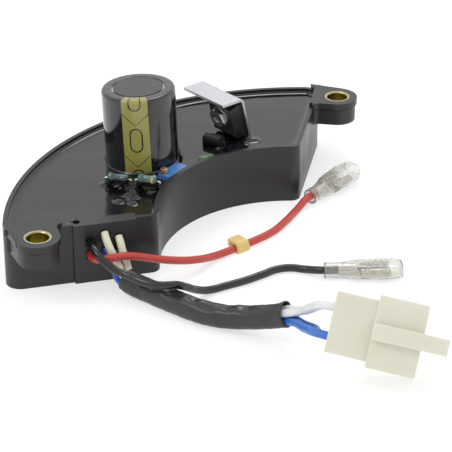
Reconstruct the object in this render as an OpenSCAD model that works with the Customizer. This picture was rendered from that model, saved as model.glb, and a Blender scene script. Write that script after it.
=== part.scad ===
// Voltage regulator of a portable generator: a half-moon case filled with epoxy, two bushed ears,
// a power device on a bent heat sink, a smoothing capacitor, a trimmer and its free leads.
// Origin: midway between the two mounting holes, on the plane that the ears' bushes seat on.
// X runs from the left hole to the right hole, Y towards the outer arc, Z up, towards the parts.

/* [Case] */
// Distance between the two mounting holes
hole_spacing = 128; // [122:1:134]
// Depth of the case, from the hole line to the top of its outer arc
case_depth = 43; // [41:0.5:47]
// Radius of the outer arc
arc_r = 86.5; // [84:0.5:90]
// Radius of the notch that clears the bearing boss
notch_r = 38.5; // [37:0.5:40]
// Height of the notch's crown above the hole line
notch_crown = 0.7; // [-1:0.1:1.5]
// Angle between an end wall and the X axis
end_slope = 32.5; // [30:0.5:35]
// Distance from a hole's centre to its end wall
ear_reach = 6.6; // [6.2:0.1:7.4]
// Fillet between an end wall and the outer arc
corner_r = 4.5; // [3:0.1:6]
// Fillet between an end wall and the notch
nose_r = 3; // [2.6:0.1:4]
// Thickness of the side walls
wall = 1.3; // [1.1:0.05:1.8]
// Thickness of the floor
floor_t = 2; // [1.5:0.1:3]
// Depth of the case below the ears' seating plane
case_drop = 12.2; // [10:0.1:14]
// Height of the rim above the ears' seating plane
rim_rise = 6.2; // [5.6:0.1:7]
// Depth of the epoxy's surface below the rim
pot_gap = 1.5; // [1:0.1:2]

/* [Ears and bushes] */
// Height of an ear's top face above its seating plane
ear_top = 7.4; // [7:0.1:9]
// Thickness of the flange on top of an ear
flange_t = 2.1; // [1.5:0.1:3]
// Radius of the flange on top of an ear
flange_r = 6.3; // [5.9:0.1:7]
// Radius of the ear's boss under the flange
boss_r = 5.8; // [5:0.1:6.2]
// Height and depth of the groove between boss and flange
groove = 0.4; // [0.2:0.05:0.6]
// Fillet where an ear meets its end wall
root_r = 2; // [1:0.1:3]
// Outer diameter of a bush
bush_d = 7.8; // [7.4:0.1:9]
// Bore of a bush, for an M6 bolt
bore_d = 6.3; // [6:0.05:6.6]
// Chamfer at each end of a bush's bore
bush_chamfer = 0.3; // [0.1:0.05:0.4]

/* [Lead outlet] */
// Distance along the end wall from the ear's centre line to the near end of the outlet block
outlet_start = 11; // [10:0.1:12]
// Length of the outlet block along the end wall
outlet_len = 18.3; // [17.6:0.1:19]
// How far the outlet block stands proud of the end wall
outlet_proud = 0.9; // [0.5:0.1:1.5]
// How far the outlet block reaches into the case, from the end wall's outer face
outlet_depth = 3.3; // [2.6:0.1:4]
// Diameter of the recess round each lead
outlet_d = 3.2; // [2.8:0.1:3.6]
// Depth of the recess round each lead
outlet_recess = 0.6; // [0.4:0.1:1]
// Diameter of the air void in the epoxy beside the outlet block
void_d = 2.2; // [1.5:0.1:3]

/* [Trimmer] */
// Length of the trimmer's body
trim_l = 9.5; // [8.5:0.1:10]
// Width of the trimmer's body
trim_w = 4.1; // [3.6:0.1:4.6]
// Height of the trimmer's body, from the board
trim_h = 10; // [8:0.1:11]
// Height of the trimmer's top above the rim
trim_rise = -0.1; // [-0.8:0.1:1]
// Angle of the trimmer about the notch's centre
trim_angle = 9.3; // [7:0.1:11]
// Diameter of the adjusting screw
screw_d = 2.1; // [1.8:0.1:2.4]
// Height of the adjusting screw above the trimmer
screw_rise = 1.8; // [1.2:0.1:2.5]
// Length of the adjusting screw inside the trimmer
screw_sink = 3; // [2:0.1:5]
// Distance from the adjusting screw's axis to the body's end and side
screw_inset = 1.35; // [1.25:0.05:1.5]
// Width of the screwdriver slot
slot_w = 0.5; // [0.3:0.05:0.7]
// Depth of the screwdriver slot
slot_depth = 0.6; // [0.4:0.05:0.9]

/* [Capacitor] */
// Diameter of the capacitor over its sleeve
cap_d = 22; // [20:0.1:22.6]
// Length of the capacitor that stands out of the epoxy
cap_stand = 23.4; // [21:0.1:25]
// Length of the capacitor's foot in the epoxy
cap_sink = 6.6; // [5:0.1:7.6]
// Lean of the capacitor towards the outer arc, in degrees
cap_lean = 2.66; // [0:0.1:4]
// Lean of the capacitor to the left, in degrees
cap_side_lean = 0.5; // [0:0.1:1.5]
// How far the capacitor's axis lies to the right of the trimmer's middle
cap_shift = 3.4; // [2:0.1:5]
// Thickness of the shrink sleeve
sleeve_t = 0.3; // [0.2:0.05:0.5]
// Radius of the can's top edge
cap_edge = 1; // [0.6:0.1:1.6]
// Diameter of the opening in the sleeve's folded top
sleeve_open_d = 15.6; // [13:0.1:18]
// Width of the groove round the top disc
disc_gap = 0.35; // [0.1:0.05:0.6]
// Thickness of the insulating disc on top
disc_t = 0.3; // [0.15:0.05:0.5]
// Width of the epoxy bead round the capacitor's foot
bead_w = 1.2; // [0.8:0.1:1.4]
// Height of the epoxy bead round the capacitor's foot
bead_h = 3.8; // [2:0.1:4.5]
// Width of the capacitor's two solder tags
tag_w = 1.5; // [1:0.1:2]
// Distance between the capacitor's two solder tags
tag_pitch = 10; // [8:0.5:12]

/* [Heat sink] */
// Left edge of the heat sink's top flag, at its near end
sink_x = 16.3; // [15.5:0.1:17]
// Near edge of the heat sink's top flag
sink_y = 4.9; // [4.4:0.1:6]
// Height of the top flag above the seating plane
sink_top = 18.6; // [17.6:0.1:20]
// Turn of the heat sink to the right, in degrees
sink_turn = 6; // [4:0.5:8]
// Length of the top flag
flag_l = 18.2; // [16:0.1:20]
// Width of the top flag, up to where the bend starts
flag_w = 6.8; // [6:0.1:7.4]
// How far the flag's far part reaches past the start of the bend
flag_tail = 0.8; // [0.4:0.1:1.2]
// Thickness of the aluminium sheet
sheet_t = 0.8; // [0.7:0.1:1.2]
// Inner radius of the bend
bend_r = 1; // [0.6:0.1:1.5]
// Width of the leg under the flag
leg_w = 10.9; // [10.9:0.1:12]
// Lean of the leg, in degrees
leg_lean = 14; // [10:0.5:16]
// Length of the leg, from the bend to its foot in the epoxy
leg_l = 15; // [13:0.1:16]
// Width of the relief slit beside the leg
relief = 0.5; // [0.3:0.1:1]

/* [Power device] */
// Width of the power device
dev_w = 9.8; // [8:0.1:9.9]
// Height of the power device
dev_h = 10.7; // [10:0.1:11]
// Thickness of the power device
dev_t = 4.5; // [3.8:0.1:4.8]
// Distance from the leg's near edge to the power device
dev_inset = 1; // [0.5:0.1:1]
// Gap between the bend and the top of the power device
dev_drop = 0.6; // [0.3:0.1:0.8]
// Distance from the power device's top to its hole
dev_hole_drop = 3.4; // [3.4:0.1:4.4]
// Distance between the power device's leads
dev_pitch = 2.54; // [2.2:0.02:2.8]
// Width of a lead of the power device
dev_lead = 0.8; // [0.6:0.05:1]

/* [Clamp screw] */
// Diameter of the clamp screw
clamp_d = 3; // [2.5:0.1:3]
// Diameter of the clamp screw's head
clamp_head_d = 5.5; // [5:0.1:6]
// Height of the clamp screw's head
clamp_head_h = 1.8; // [1.4:0.1:2.2]
// Outer diameter of the washer
washer_d = 6.6; // [6:0.1:6.7]
// Thickness of the washer
washer_t = 0.4; // [0.3:0.1:0.6]
// Width of the nut across its flats
nut_af = 5.5; // [5:0.1:5.6]
// Height of the nut
nut_h = 1.6; // [1.4:0.1:2]

/* [Small parts] */
// Length of the rectifier diode's body
diode_l = 5.6; // [5:0.1:6.2]
// Diameter of the rectifier diode's body
diode_d = 3.8; // [3.4:0.1:4.2]
// Position of the rectifier diode's middle along X
diode_x = 16.2; // [15.6:0.1:16.6]
// Position of the rectifier diode's middle along Y
diode_y = 8.7; // [8.2:0.1:9.4]
// Heading of the rectifier diode's axis, in degrees
diode_turn = 103; // [95:1:108]
// Height of the rectifier diode's axis above the epoxy
diode_rise = 1.5; // [1.3:0.1:1.7]
// Width of the dipped film capacitor
film_w = 5.8; // [5.2:0.1:6.6]
// Thickness of the dipped film capacitor
film_t = 2.6; // [2:0.1:2.8]
// How far the film capacitor shows above the epoxy
film_rise = 1.5; // [0.5:0.1:2]
// Angle of the film capacitor about the notch's centre, to the right
film_angle = 9.6; // [9:0.1:12]
// Thickness of the circuit board
board_t = 1.6; // [1:0.1:2]
// Gap between the board's edge and the case's walls
board_gap = 0.8; // [0.5:0.1:1.5]
// Height of the resistors' axes above the epoxy
resistor_rise = 2.4; // [2.2:0.1:3]
// Length of the left resistor's body
resistor_left_l = 6.3; // [5.5:0.1:6.8]
// Diameter of the left resistor's body
resistor_left_d = 3.4; // [3:0.1:3.8]
// Length of the right resistor's body
resistor_right_l = 5.8; // [5:0.1:6.4]
// Diameter of the right resistor's body
resistor_right_d = 4; // [3.4:0.1:4.3]
// Diameter of the small parts' wire leads
pin_d = 0.7; // [0.5:0.05:0.9]
// Radius of the epoxy mounds round the small parts' leads
mound_r = 1.6; // [1.2:0.1:2]

/* [Leads] */
// Diameter of every lead over its insulation
lead_d = 2.3; // [2:0.05:2.35]
// Outer diameter of the harness sleeve
harness_d = 6.7; // [6.6:0.05:6.8]
// Wall of the harness sleeve
harness_wall = 0.35; // [0.2:0.05:0.4]
// Length of the yellow clip on the red lead
clip_l = 4.2; // [3:0.1:6]
// Wall of the yellow clip
clip_t = 0.9; // [0.6:0.1:1.1]

/* [Spade terminals] */
// Width of a spade receptacle
spade_w = 7.4; // [6.6:0.1:7.8]
// Length of a spade receptacle's rolled part
spade_l = 8.4; // [7:0.1:9]
// Height of a spade receptacle
spade_h = 2.4; // [2:0.1:2.8]
// Length of a receptacle's crimp barrel
crimp_l = 5; // [4:0.1:6]
// Diameter of a receptacle's crimp barrel
crimp_d = 3.2; // [2.6:0.1:3.4]
// Length of a clear cover
cover_l = 22.4; // [21.5:0.1:26]
// Outside width of a clear cover
cover_w = 9.4; // [9.2:0.1:10.5]
// Outside height of a clear cover
cover_h = 4.6; // [4.2:0.1:5.2]
// Outside diameter of a clear cover's neck
cover_neck_d = 4.6; // [4.4:0.1:5]
// Wall of a clear cover
cover_wall = 0.5; // [0.4:0.05:0.6]

/* [Plug] */
// Length of the plug's rear block
block_l = 11.1; // [10:0.1:13]
// Width of the plug's rear block
block_w = 16.2; // [15:0.1:17]
// Height of the plug's rear block
block_h = 12; // [11.6:0.1:13]
// Length of the plug's hood
hood_l = 13.1; // [12:0.1:15]
// Width of the plug's hood
hood_w = 19.2; // [18.6:0.1:19.4]
// Height of the plug's hood
hood_h = 15; // [14.6:0.1:15.2]
// Wall of the plug's hood
hood_wall = 1.4; // [1:0.1:1.8]
// Chamfer of the hood's long edges, across its width
hood_chamfer_w = 2.6; // [2.4:0.1:3.4]
// Chamfer of the hood's long edges, across its height
hood_chamfer_h = 1.4; // [1.2:0.1:2]
// Width of the locking arm
arm_w = 4.4; // [3.6:0.1:5.4]
// Height of the locking arm above the hood
arm_h = 2.4; // [1.8:0.1:3]
// Length of the locking arm in front of the hood
arm_reach = 6.7; // [5:0.1:8]
// Distance between the contacts across the plug's width
contact_pitch_w = 7.6; // [7:0.1:7.8]
// Distance between the contacts across the plug's height
contact_pitch_h = 6.6; // [6.4:0.1:6.8]
// Diameter of a contact's crimp barrel
contact_d = 2.6; // [2.2:0.05:2.75]
// Width of a contact's blade
blade_w = 2.2; // [1.6:0.1:2.4]
// Thickness of a contact's blade
blade_t = 0.8; // [0.5:0.05:1]
// Length of a contact's blade inside the hood
blade_l = 8; // [6:0.1:10]

/* [Fits] */
// Clearance round everything that the epoxy or the case holds
seat_gap = 0.05; // [0.02:0.01:0.08]
// Radial clearance of the adjusting screw in its bore
turn_gap = 0.06; // [0.03:0.01:0.1]
// Gap between neighbouring parts on the board
part_gap = 0.15; // [0.1:0.01:0.2]

/* [Hidden] */

$fn = 64;
// Cutting tools run past the faces that they open by this much
past = 1;
// Pieces of one solid run into each other by this much
merge = 0.1;
// Smallest fillet of an inner outline
least_r = 0.4;
// Fillets are this much fuller than a tangent one, so that they cross their walls cleanly
swell = 0.01;

// Heights
base_z = -case_drop;
pot_z = rim_rise - pot_gap;
trim_top = rim_rise + trim_rise;
board_top = trim_top - trim_h;

// Plan of the case
arc_cy = case_depth - arc_r;
notch_cy = notch_crown - notch_r;
sin_end = sin(end_slope);
cos_end = cos(end_slope);
end_k = hole_spacing/2*sin_end - ear_reach;

// Places about the notch's centre: an angle to the left of +Y, a radius and a sideways shift
function about_notch(angle, radius, shift) =
    [shift*cos(angle) - radius*sin(angle), notch_cy + shift*sin(angle) + radius*cos(angle)];
trim_radius = notch_r + wall + part_gap + trim_w/2;
cap_radius = trim_radius + trim_w/2 + seat_gap + cap_d/2 + cap_sink*sin(cap_lean);
cap_at = about_notch(trim_angle, cap_radius, cap_shift);

// Points and directions on the end walls: the left wall's foot under its hole, and along it
function outlet_point(along, deep, z) =
    [-hole_spacing/2 + (ear_reach - outlet_proud + deep)*sin_end + along*cos_end,
     (ear_reach - outlet_proud + deep)*cos_end - along*sin_end, z];

// Lead exits, as distance along the end wall and height
exit_black = [15.6, 0.7];
exit_red = [15.6, -3.5];
exit_white_1 = [20, 2.8];
exit_white_2 = [24, 1.1];
exit_blue_1 = [20, -2.6];
exit_blue_2 = [23.8, -3.4];
exits = [exit_black, exit_red, exit_white_1, exit_white_2, exit_blue_1, exit_blue_2];
function exit_at(spot) = outlet_point(spot[0], outlet_recess, spot[1]);
// Distance of the air void's middle behind the outlet block's front face
void_in = outlet_proud + outlet_depth + 0.4*void_d;

// Solder tags of the capacitor: thickness, and a length that reaches past the board
tag_t = 0.8;
tag_l = 8;
// Leads of the power device are cut off at the board from this length
dev_lead_l = 14;
// Chamfer under the power device
dev_edge = 1;

// Resistors: middle in plan and the direction of both axes
resistor_left_at = [-23.2, 9.9];
resistor_right_at = [-18.4, 2.6];
resistor_turn = -59.3;
// How far a wire lead runs out of its part before it turns down, and how far it starts inside
pin_out = 1;
pin_in = 0.2;
// Small bumps of epoxy over parts just below the surface
bumps = [[-29.8, 2.4], [-28.2, -1.3], [26.5, 1.4]];

// Plug: middle of the hood's shoulder, and its turn about X, Y and Z
plug_at = [-32.3, -93.8, 1.15];
plug_turn = [58.8, 9.4, -57.3];
plug_x = [cos(plug_turn[2])*cos(plug_turn[1]), sin(plug_turn[2])*cos(plug_turn[1]), -sin(plug_turn[1])];
plug_y0 = [-sin(plug_turn[2]), cos(plug_turn[2]), 0];
plug_z0 = cross(plug_x, plug_y0);
plug_y = cos(plug_turn[0])*plug_y0 + sin(plug_turn[0])*plug_z0;
plug_z = cross(plug_x, plug_y);
function plug_point(p) = plug_at + p[0]*plug_x + p[1]*plug_y + p[2]*plug_z;
// Depth in the plug at which a lead meets its contact
contact_back = 5;
// How far a lead runs straight before it enters the plug
plug_lead_in = 2;

// Spade terminals: where each clear cover starts, and its heading
terminal_red_at = [29.5, -17.6];
terminal_red_turn = 5;
terminal_black_at = [-1, -50.6];
terminal_black_turn = -44;
// How far a lead runs into its clear cover
cover_lead_in = 4;

// Routes of the free leads, after the point where each leaves the case
lie_z = base_z + lead_d/2;
red_route = [[-48.8, -5.6, -3.3], [-49.1, -8.4, -2.6], [-47.5, -11.2, -1.8], [-44.9, -12.9, -1.6],
    [-42.2, -14.1, -2.1], [-39.3, -15.4, -3.1], [-35.5, -17.2, -4.6], [-30, -19.8, -6.4],
    [-23, -20.9, -8.6], [-15, -20.9, -10.6], [-7, -21.6, lie_z], [1, -22.6, lie_z],
    [8, -22.8, lie_z], [16, -21.1, lie_z], [24, -18.6, lie_z]];
black_route = [[-49.3, -6, 0.9], [-50.6, -9.3, 0.2], [-50.6, -12.4, -1.4], [-49.9, -15.6, -2.8],
    [-49, -19, -3.5], [-48.5, -23, -3.8], [-47.5, -27, -4], [-45.6, -30.3, -4],
    [-42.8, -32.4, -4.2], [-39.2, -33, -6.2], [-35, -32.7, -8.9], [-30.5, -33, -10.8],
    [-25, -34.7, lie_z], [-19, -36.7, lie_z], [-13, -38, lie_z], [-8, -39, lie_z], [-4.6, -41.4, lie_z],
    [-2.8, -44.6, lie_z]];
sleeve_lie_z = base_z + harness_d/2;
harness_route = [[-45.3, -15.5, -7.7], [-45.1, -18.8, -8.5], [-44.4, -24, sleeve_lie_z],
    [-44, -32, sleeve_lie_z], [-43, -41.5, sleeve_lie_z], [-41.3, -48.2, -8.5], [-39, -54, -7.6],
    [-37.2, -60.5, -5.7], [-35.4, -67, -3.4]];
white_1_start = [[-44.6, -7, 1.5], [-44.9, -8.6, -0.6], [-44.7, -10, -2.8], [-45.2, -12, -4.5]];
white_2_start = [[-41.1, -9, -0.1], [-41.5, -10.2, -2.2], [-41.9, -11.7, -4.3], [-42.9, -13.6, -5.8]];
blue_1_start = [[-44.5, -7.6, -3.8], [-45.2, -9.9, -6], [-46, -12.6, -8.1]];
blue_2_start = [[-41.2, -8.9, -4.7], [-41.8, -10.6, -6.7], [-42.8, -12.9, -8.4]];
white_1_end = [[-36.4, -72, 0.2], [-38.2, -77.5, 4.4]];
white_2_end = [[-33.8, -72, -0.6], [-33.4, -76.5, 2.4]];
blue_1_end = [[-37.8, -72, -2.8], [-41, -78, -0.6]];
blue_2_end = [[-34.5, -72, -4.5], [-36.2, -77.5, -3]];
// Half the distance between neighbouring leads inside the harness sleeve
bundle = lead_d/2 + 0.08;
// Sides of a lead's and of the harness sleeve's cross-section
lead_sides = 8;

// Sweep of a round section along a route
function unit(v) = v/norm(v);
function heading(path, i) = unit(path[min(i + 1, len(path) - 1)] - path[max(i - 1, 0)]);
function side_of(d) = unit(cross(d, [0, 0, 1]));
function rise_of(d) = cross(side_of(d), d);
function ring(at, d, r) = [for (k = [0:lead_sides - 1])
    at + r*cos(360*k/lead_sides)*side_of(d) + r*sin(360*k/lead_sides)*rise_of(d)];
function rings(path, r) = [for (i = [0:len(path) - 1]) each ring(path[i], heading(path, i), r)];
function band(a, b, k, flip) =
    let (n = (k + 1)%lead_sides) flip ? [b + k, b + n, a + n, a + k] : [a + k, a + n, b + n, b + k];
function skin(count, first, flip) = [for (i = [0:count - 2]) for (k = [0:lead_sides - 1])
    band(first + i*lead_sides, first + (i + 1)*lead_sides, k, flip)];
function bundle_point(i, u, v) = let (d = heading(harness_route, i))
    harness_route[i] + u*bundle*side_of(d) + v*bundle*rise_of(d);
function bundle_path(u, v) = [for (i = [0:len(harness_route) - 1]) bundle_point(i, u, v)];

module cord(path, r) {
    last = (len(path) - 1)*lead_sides;
    polyhedron(rings(path, r), concat(skin(len(path), 0, false),
        [[for (k = [lead_sides - 1:-1:0]) k]], [[for (k = [0:lead_sides - 1]) last + k]]));
}

module hose(path, r, bore_r) {
    count = len(path);
    first = count*lead_sides;
    polyhedron(concat(rings(path, r), rings(path, bore_r)), concat(
        skin(count, 0, false), skin(count, first, true),
        [for (k = [0:lead_sides - 1]) band(first, 0, k, false)],
        [for (k = [0:lead_sides - 1]) band(first - lead_sides, 2*first - lead_sides, k, false)]));
}

// Corner fillets of the case's plan: t is the distance along the end wall
function corner_t(cy, radius, k) = cy*sin_end + sqrt(pow(radius, 2) - pow(k + cy*cos_end, 2));
function corner_at(cy, radius, k) = let (t = corner_t(cy, radius, k))
    [k*sin_end + t*cos_end, t*sin_end - k*cos_end];
function towards(from, to, dist) = from + dist*(to - from)/norm(to - from);

// Outline of the case, moved inwards by inset
module plan(inset) {
    k = end_k - inset;
    outer_f = max(corner_r - inset, least_r);
    inner_f = max(nose_r - inset, least_r);
    arc_c = [0, arc_cy];
    notch_c = [0, notch_cy];
    outer_c = corner_at(arc_cy, arc_r - inset - outer_f, k - outer_f);
    inner_c = corner_at(notch_cy, notch_r + inset + inner_f, k - inner_f);
    normal = [sin_end, -cos_end];
    half = [inner_c, inner_c + inner_f*normal, outer_c + outer_f*normal, outer_c,
        towards(arc_c, outer_c, 1.4*arc_r)];
    difference() {
        intersection() {
            translate(arc_c) circle(arc_r - inset, $fn = 180);
            polygon(concat([notch_c], half, [[0, arc_cy + 2*arc_r]],
                [for (i = [len(half) - 1:-1:0]) [-half[i][0], half[i][1]]]));
        }
        translate(notch_c) circle(notch_r + inset, $fn = 120);
    }
    for (side = [-1, 1]) {
        translate([side*outer_c[0], outer_c[1]]) circle(outer_f + swell);
        translate([side*inner_c[0], inner_c[1]]) circle(inner_f + swell);
    }
}

// Frame of an ear: origin at its hole, +Y towards its end wall; the left one is mirrored
module at_ear(side) {
    mirror([side < 0 ? 1 : 0, 0, 0])
        translate([hole_spacing/2, 0, 0])
            rotate([0, 0, end_slope])
                children();
}

module ear_shape(r, z0, z1, fillet) {
    reach = ear_reach + wall + merge;
    translate([0, 0, z0]) linear_extrude(z1 - z0) {
        circle(r);
        translate([-r, 0]) square([2*r, reach]);
        for (side = [-1, 1]) {
            difference() {
                translate([side*(r + fillet/2), ear_reach - fillet/2 + merge])
                    square([fillet, fillet + 2*merge], center = true);
                translate([side*(r + fillet - swell), ear_reach - fillet + swell]) circle(fillet);
            }
        }
    }
}

module outlet_block(grow, z0, z1) {
    at_ear(-1)
        translate([-outlet_start - outlet_len - grow, ear_reach - outlet_proud, z0])
            cube([outlet_len + 2*grow, outlet_proud + outlet_depth + grow, z1 - z0]);
}

module housing() color("#26262a") {
    boss_top = ear_top - flange_t;
    difference() {
        union() {
            difference() {
                union() {
                    translate([0, 0, base_z]) linear_extrude(case_drop + rim_rise) plan(0);
                    for (side = [-1, 1]) at_ear(side) {
                        ear_shape(boss_r, 0, boss_top - groove, root_r);
                        ear_shape(boss_r - groove, boss_top - groove - merge, boss_top + merge, root_r);
                        ear_shape(flange_r, boss_top, ear_top, root_r);
                    }
                }
                translate([0, 0, base_z + floor_t])
                    linear_extrude(case_drop - floor_t + ear_top + past) plan(wall);
            }
            outlet_block(0, base_z, rim_rise);
        }
        for (side = [-1, 1]) at_ear(side)
            translate([0, 0, -past]) cylinder(d = bush_d + 2*seat_gap, h = ear_top + 2*past);
        for (spot = exits) translate(exit_at(spot))
            rotate([0, 90, -90 - end_slope])
                cylinder(d = outlet_d, h = outlet_recess + past);
    }
}

module bush(side) color("#b9a36a") {
    at_ear(side) difference() {
        cylinder(d = bush_d, h = ear_top);
        translate([0, 0, -past]) cylinder(d = bore_d, h = ear_top + 2*past);
        for (end = [0, 1]) translate([0, 0, end*ear_top]) mirror([0, 0, end])
            cylinder(d1 = bore_d + 2*bush_chamfer, d2 = bore_d, h = bush_chamfer);
    }
}
module bush_left() bush(-1);
module bush_right() bush(1);

module circuit_board() color("#2f6b3c") {
    difference() {
        translate([0, 0, board_top - board_t]) linear_extrude(board_t) plan(wall + board_gap);
        outlet_block(board_gap, base_z, pot_z);
    }
}

// Mounds of epoxy that run up the leads of the small parts: caps of balls sunk into the epoxy
module mound(at) {
    sink = 0.6*mound_r;
    translate([at[0], at[1], pot_z - sink]) intersection() {
        sphere(mound_r);
        translate([-mound_r, -mound_r, sink - merge]) cube([2*mound_r, 2*mound_r, mound_r]);
    }
}

module potting() color("#4c4d52") {
    difference() {
        union() {
            translate([0, 0, base_z + floor_t])
                linear_extrude(pot_z - base_z - floor_t) plan(wall + seat_gap);
            for (end = [-1, 1]) {
                mound(pin_at(resistor_left_at, resistor_left_l, end));
                mound(pin_at(resistor_right_at, resistor_right_l, end));
            }
            for (at = bumps) mound(at);
        }
        outlet_block(seat_gap, base_z, rim_rise);
        translate([0, 0, board_top - board_t - seat_gap])
            linear_extrude(board_t + 2*seat_gap) plan(wall + board_gap - seat_gap);
        cap_frame() translate([0, 0, -cap_sink - seat_gap])
            cylinder(d = cap_d + 2*seat_gap, h = cap_len);
        tags(seat_gap);
        trimmer_block(seat_gap);
        film_shape(seat_gap);
        leg(seat_gap);
        device_leads(seat_gap);
        device_body(seat_gap);
        diode_shape(seat_gap);
        resistor_pins(resistor_left_at, resistor_left_l, seat_gap);
        resistor_pins(resistor_right_at, resistor_right_l, seat_gap);
        translate(outlet_point(outlet_start + void_d, void_in, pot_z - void_d))
            cylinder(d = void_d, h = void_d + past);
    }
}

// Frame of the capacitor: origin on its axis at the epoxy's surface, +Z along the axis
module cap_frame() {
    translate([cap_at[0], cap_at[1], pot_z])
        rotate([-cap_lean, -cap_side_lean, 0])
            children();
}

module rounded_disc(r, h, edge) {
    rotate_extrude() {
        square([r, h - edge]);
        square([r - edge, h]);
        translate([r - edge, h - edge]) intersection() {
            circle(edge);
            square(edge);
        }
    }
}

// Whole length of the capacitor
cap_len = cap_stand + cap_sink;

// Two flat tags under the capacitor, cut off level with the board
module tags(grow) {
    for (side = [-1, 1]) cap_frame() intersection() {
        translate([side*tag_pitch/2 - tag_w/2 - grow, -tag_t/2 - grow, -cap_sink - tag_l])
            cube([tag_w + 2*grow, tag_t + 2*grow, tag_l + sleeve_t]);
        rotate([0, cap_side_lean, 0]) rotate([cap_lean, 0, 0])
            translate([-cap_d, -cap_d, board_top - pot_z - grow]) cube([2*cap_d, 2*cap_d, cap_len]);
    }
}

module capacitor_can() color("#c9ccd1") {
    r = cap_d/2 - sleeve_t - seat_gap/2;
    cap_frame() translate([0, 0, sleeve_t - cap_sink])
        rounded_disc(r, cap_len - 2*sleeve_t, cap_edge);
    tags(0);
}

module capacitor_sleeve() color("#1b1c1e") {
    cap_frame() translate([0, 0, -cap_sink]) difference() {
        rounded_disc(cap_d/2, cap_len, cap_edge + sleeve_t);
        translate([0, 0, sleeve_t]) rounded_disc(cap_d/2 - sleeve_t, cap_len - 2*sleeve_t, cap_edge);
        translate([0, 0, -past]) cylinder(d = cap_d - 5*sleeve_t, h = 2*past);
        translate([0, 0, cap_len - past]) cylinder(d = sleeve_open_d, h = 2*past);
    }
}

module capacitor_top_disc() color("#232426") {
    cap_frame() translate([0, 0, cap_stand - sleeve_t])
        cylinder(d = sleeve_open_d - 2*disc_gap, h = disc_t);
}

module capacitor_bead() color("#2c2c30") {
    difference() {
        translate([cap_at[0], cap_at[1], pot_z]) rotate_extrude() {
            translate([cap_d/2 - past, 0]) square([bead_w + past, bead_h - bead_w]);
            translate([cap_d/2, bead_h - bead_w]) intersection() {
                circle(bead_w);
                translate([-bead_w/2, 0]) square([2*bead_w, bead_w]);
            }
        }
        cap_frame() translate([0, 0, -past]) cylinder(d = cap_d + 2*seat_gap, h = bead_h + 2*past);
        trimmer_block(part_gap);
    }
}

// Frame of the heat sink: origin at the flag's near left corner on its top face
module sink_frame() {
    translate([sink_x, sink_y, sink_top])
        rotate([0, 0, -sink_turn])
            children();
}

// Frame of the leg: origin at the bend's centre, X out of the leg's back, -Z down the leg
module leg_frame() {
    sink_frame()
        translate([flag_w, 0, -sheet_t - bend_r])
            rotate([0, -leg_lean, 0])
                children();
}

module leg(grow) {
    leg_frame() translate([bend_r - grow, -grow, -leg_l - grow])
        cube([sheet_t + 2*grow, leg_w + 2*grow, leg_l + grow]);
}

// Middle of the clamp screw on the leg: its distance from the near edge, and down the leg
clamp_y = dev_inset + dev_w/2;
clamp_z = -dev_drop - dev_hole_drop;
// How far the clamp screw's end stays inside its nut, and the chamfer of its head
clamp_short = 0.4;
clamp_edge = 0.5;
// Cross recess in the clamp screw's head
cross_l = 3;
cross_w = 0.6;
cross_depth = 0.9;
// Turn of the nut, and the chamfer of its corners, across the nut and along it
nut_turn = 12;
nut_edge_w = 0.3;
nut_edge_h = 0.2;
nut_cone_d = nut_af + nut_edge_w + (nut_h + past)*nut_edge_w/nut_edge_h;

module on_clamp(x) {
    leg_frame() translate([x, clamp_y, clamp_z]) rotate([0, -90, 0]) children();
}

module heat_sink() color("#c4c6c8") {
    outer = bend_r + sheet_t;
    difference() {
        union() {
            sink_frame() {
                translate([0, 0, -sheet_t]) cube([flag_w + 0.01, flag_l, sheet_t]);
                translate([flag_w, leg_w + relief, -sheet_t])
                    cube([flag_tail, flag_l - leg_w - relief, sheet_t]);
            }
            leg_frame() translate([0, leg_w, 0]) rotate([90, 0, 0]) linear_extrude(leg_w)
                difference() {
                    intersection() {
                        circle(outer);
                        polygon(2*outer*[[0, 0], [1, 0], [1, 1], [sin(leg_lean), cos(leg_lean)]]);
                    }
                    circle(bend_r);
                }
            leg(0);
        }
        on_clamp(outer + past) cylinder(d = clamp_d + 4*seat_gap, h = sheet_t + 2*past);
    }
}

module device_body(grow) {
    bottom = -dev_drop - dev_h;
    leg_frame() translate([0, dev_inset + dev_w + grow, 0]) rotate([90, 0, 0])
        linear_extrude(dev_w + 2*grow)
            polygon([[bend_r + grow, -dev_drop + grow], [bend_r - dev_t - grow, -dev_drop + grow],
                [bend_r - dev_t - grow, bottom + dev_edge], [bend_r - dev_t + dev_edge, bottom - grow],
                [bend_r + grow, bottom - grow]]);
}

module device_leads(grow) {
    size = dev_lead + 2*grow;
    top = -dev_drop - dev_h + (grow > 0 ? 0 : merge);
    for (i = [-1:1]) difference() {
        leg_frame()
            translate([bend_r - dev_t/2 - size/2, clamp_y + i*dev_pitch - size/2, top - dev_lead_l])
                cube([size, size, dev_lead_l]);
        translate([0, 0, board_top - grow - case_depth]) cylinder(r = case_depth, h = case_depth);
    }
}

module power_transistor() color("#18191b") {
    difference() {
        union() {
            device_body(0);
            device_leads(0);
        }
        on_clamp(bend_r + past) cylinder(d = clamp_d + 4*seat_gap, h = dev_t + 3*past);
    }
}

module clamp_screw() color("#c9c9c4") {
    outer = bend_r + sheet_t;
    length = sheet_t + dev_t + washer_t + nut_h - clamp_short;
    difference() {
        union() {
            on_clamp(outer) cylinder(d = clamp_d - 2*seat_gap, h = length);
            on_clamp(outer + clamp_head_h) {
                translate([0, 0, clamp_edge]) cylinder(d = clamp_head_d, h = clamp_head_h - clamp_edge);
                cylinder(d1 = clamp_head_d - 2*clamp_edge, d2 = clamp_head_d, h = clamp_edge);
            }
        }
        on_clamp(outer + clamp_head_h + past) for (turn = [0, 90]) rotate([0, 0, turn])
            translate([-cross_l/2, -cross_w/2, 0]) cube([cross_l, cross_w, past + cross_depth]);
    }
}

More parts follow.
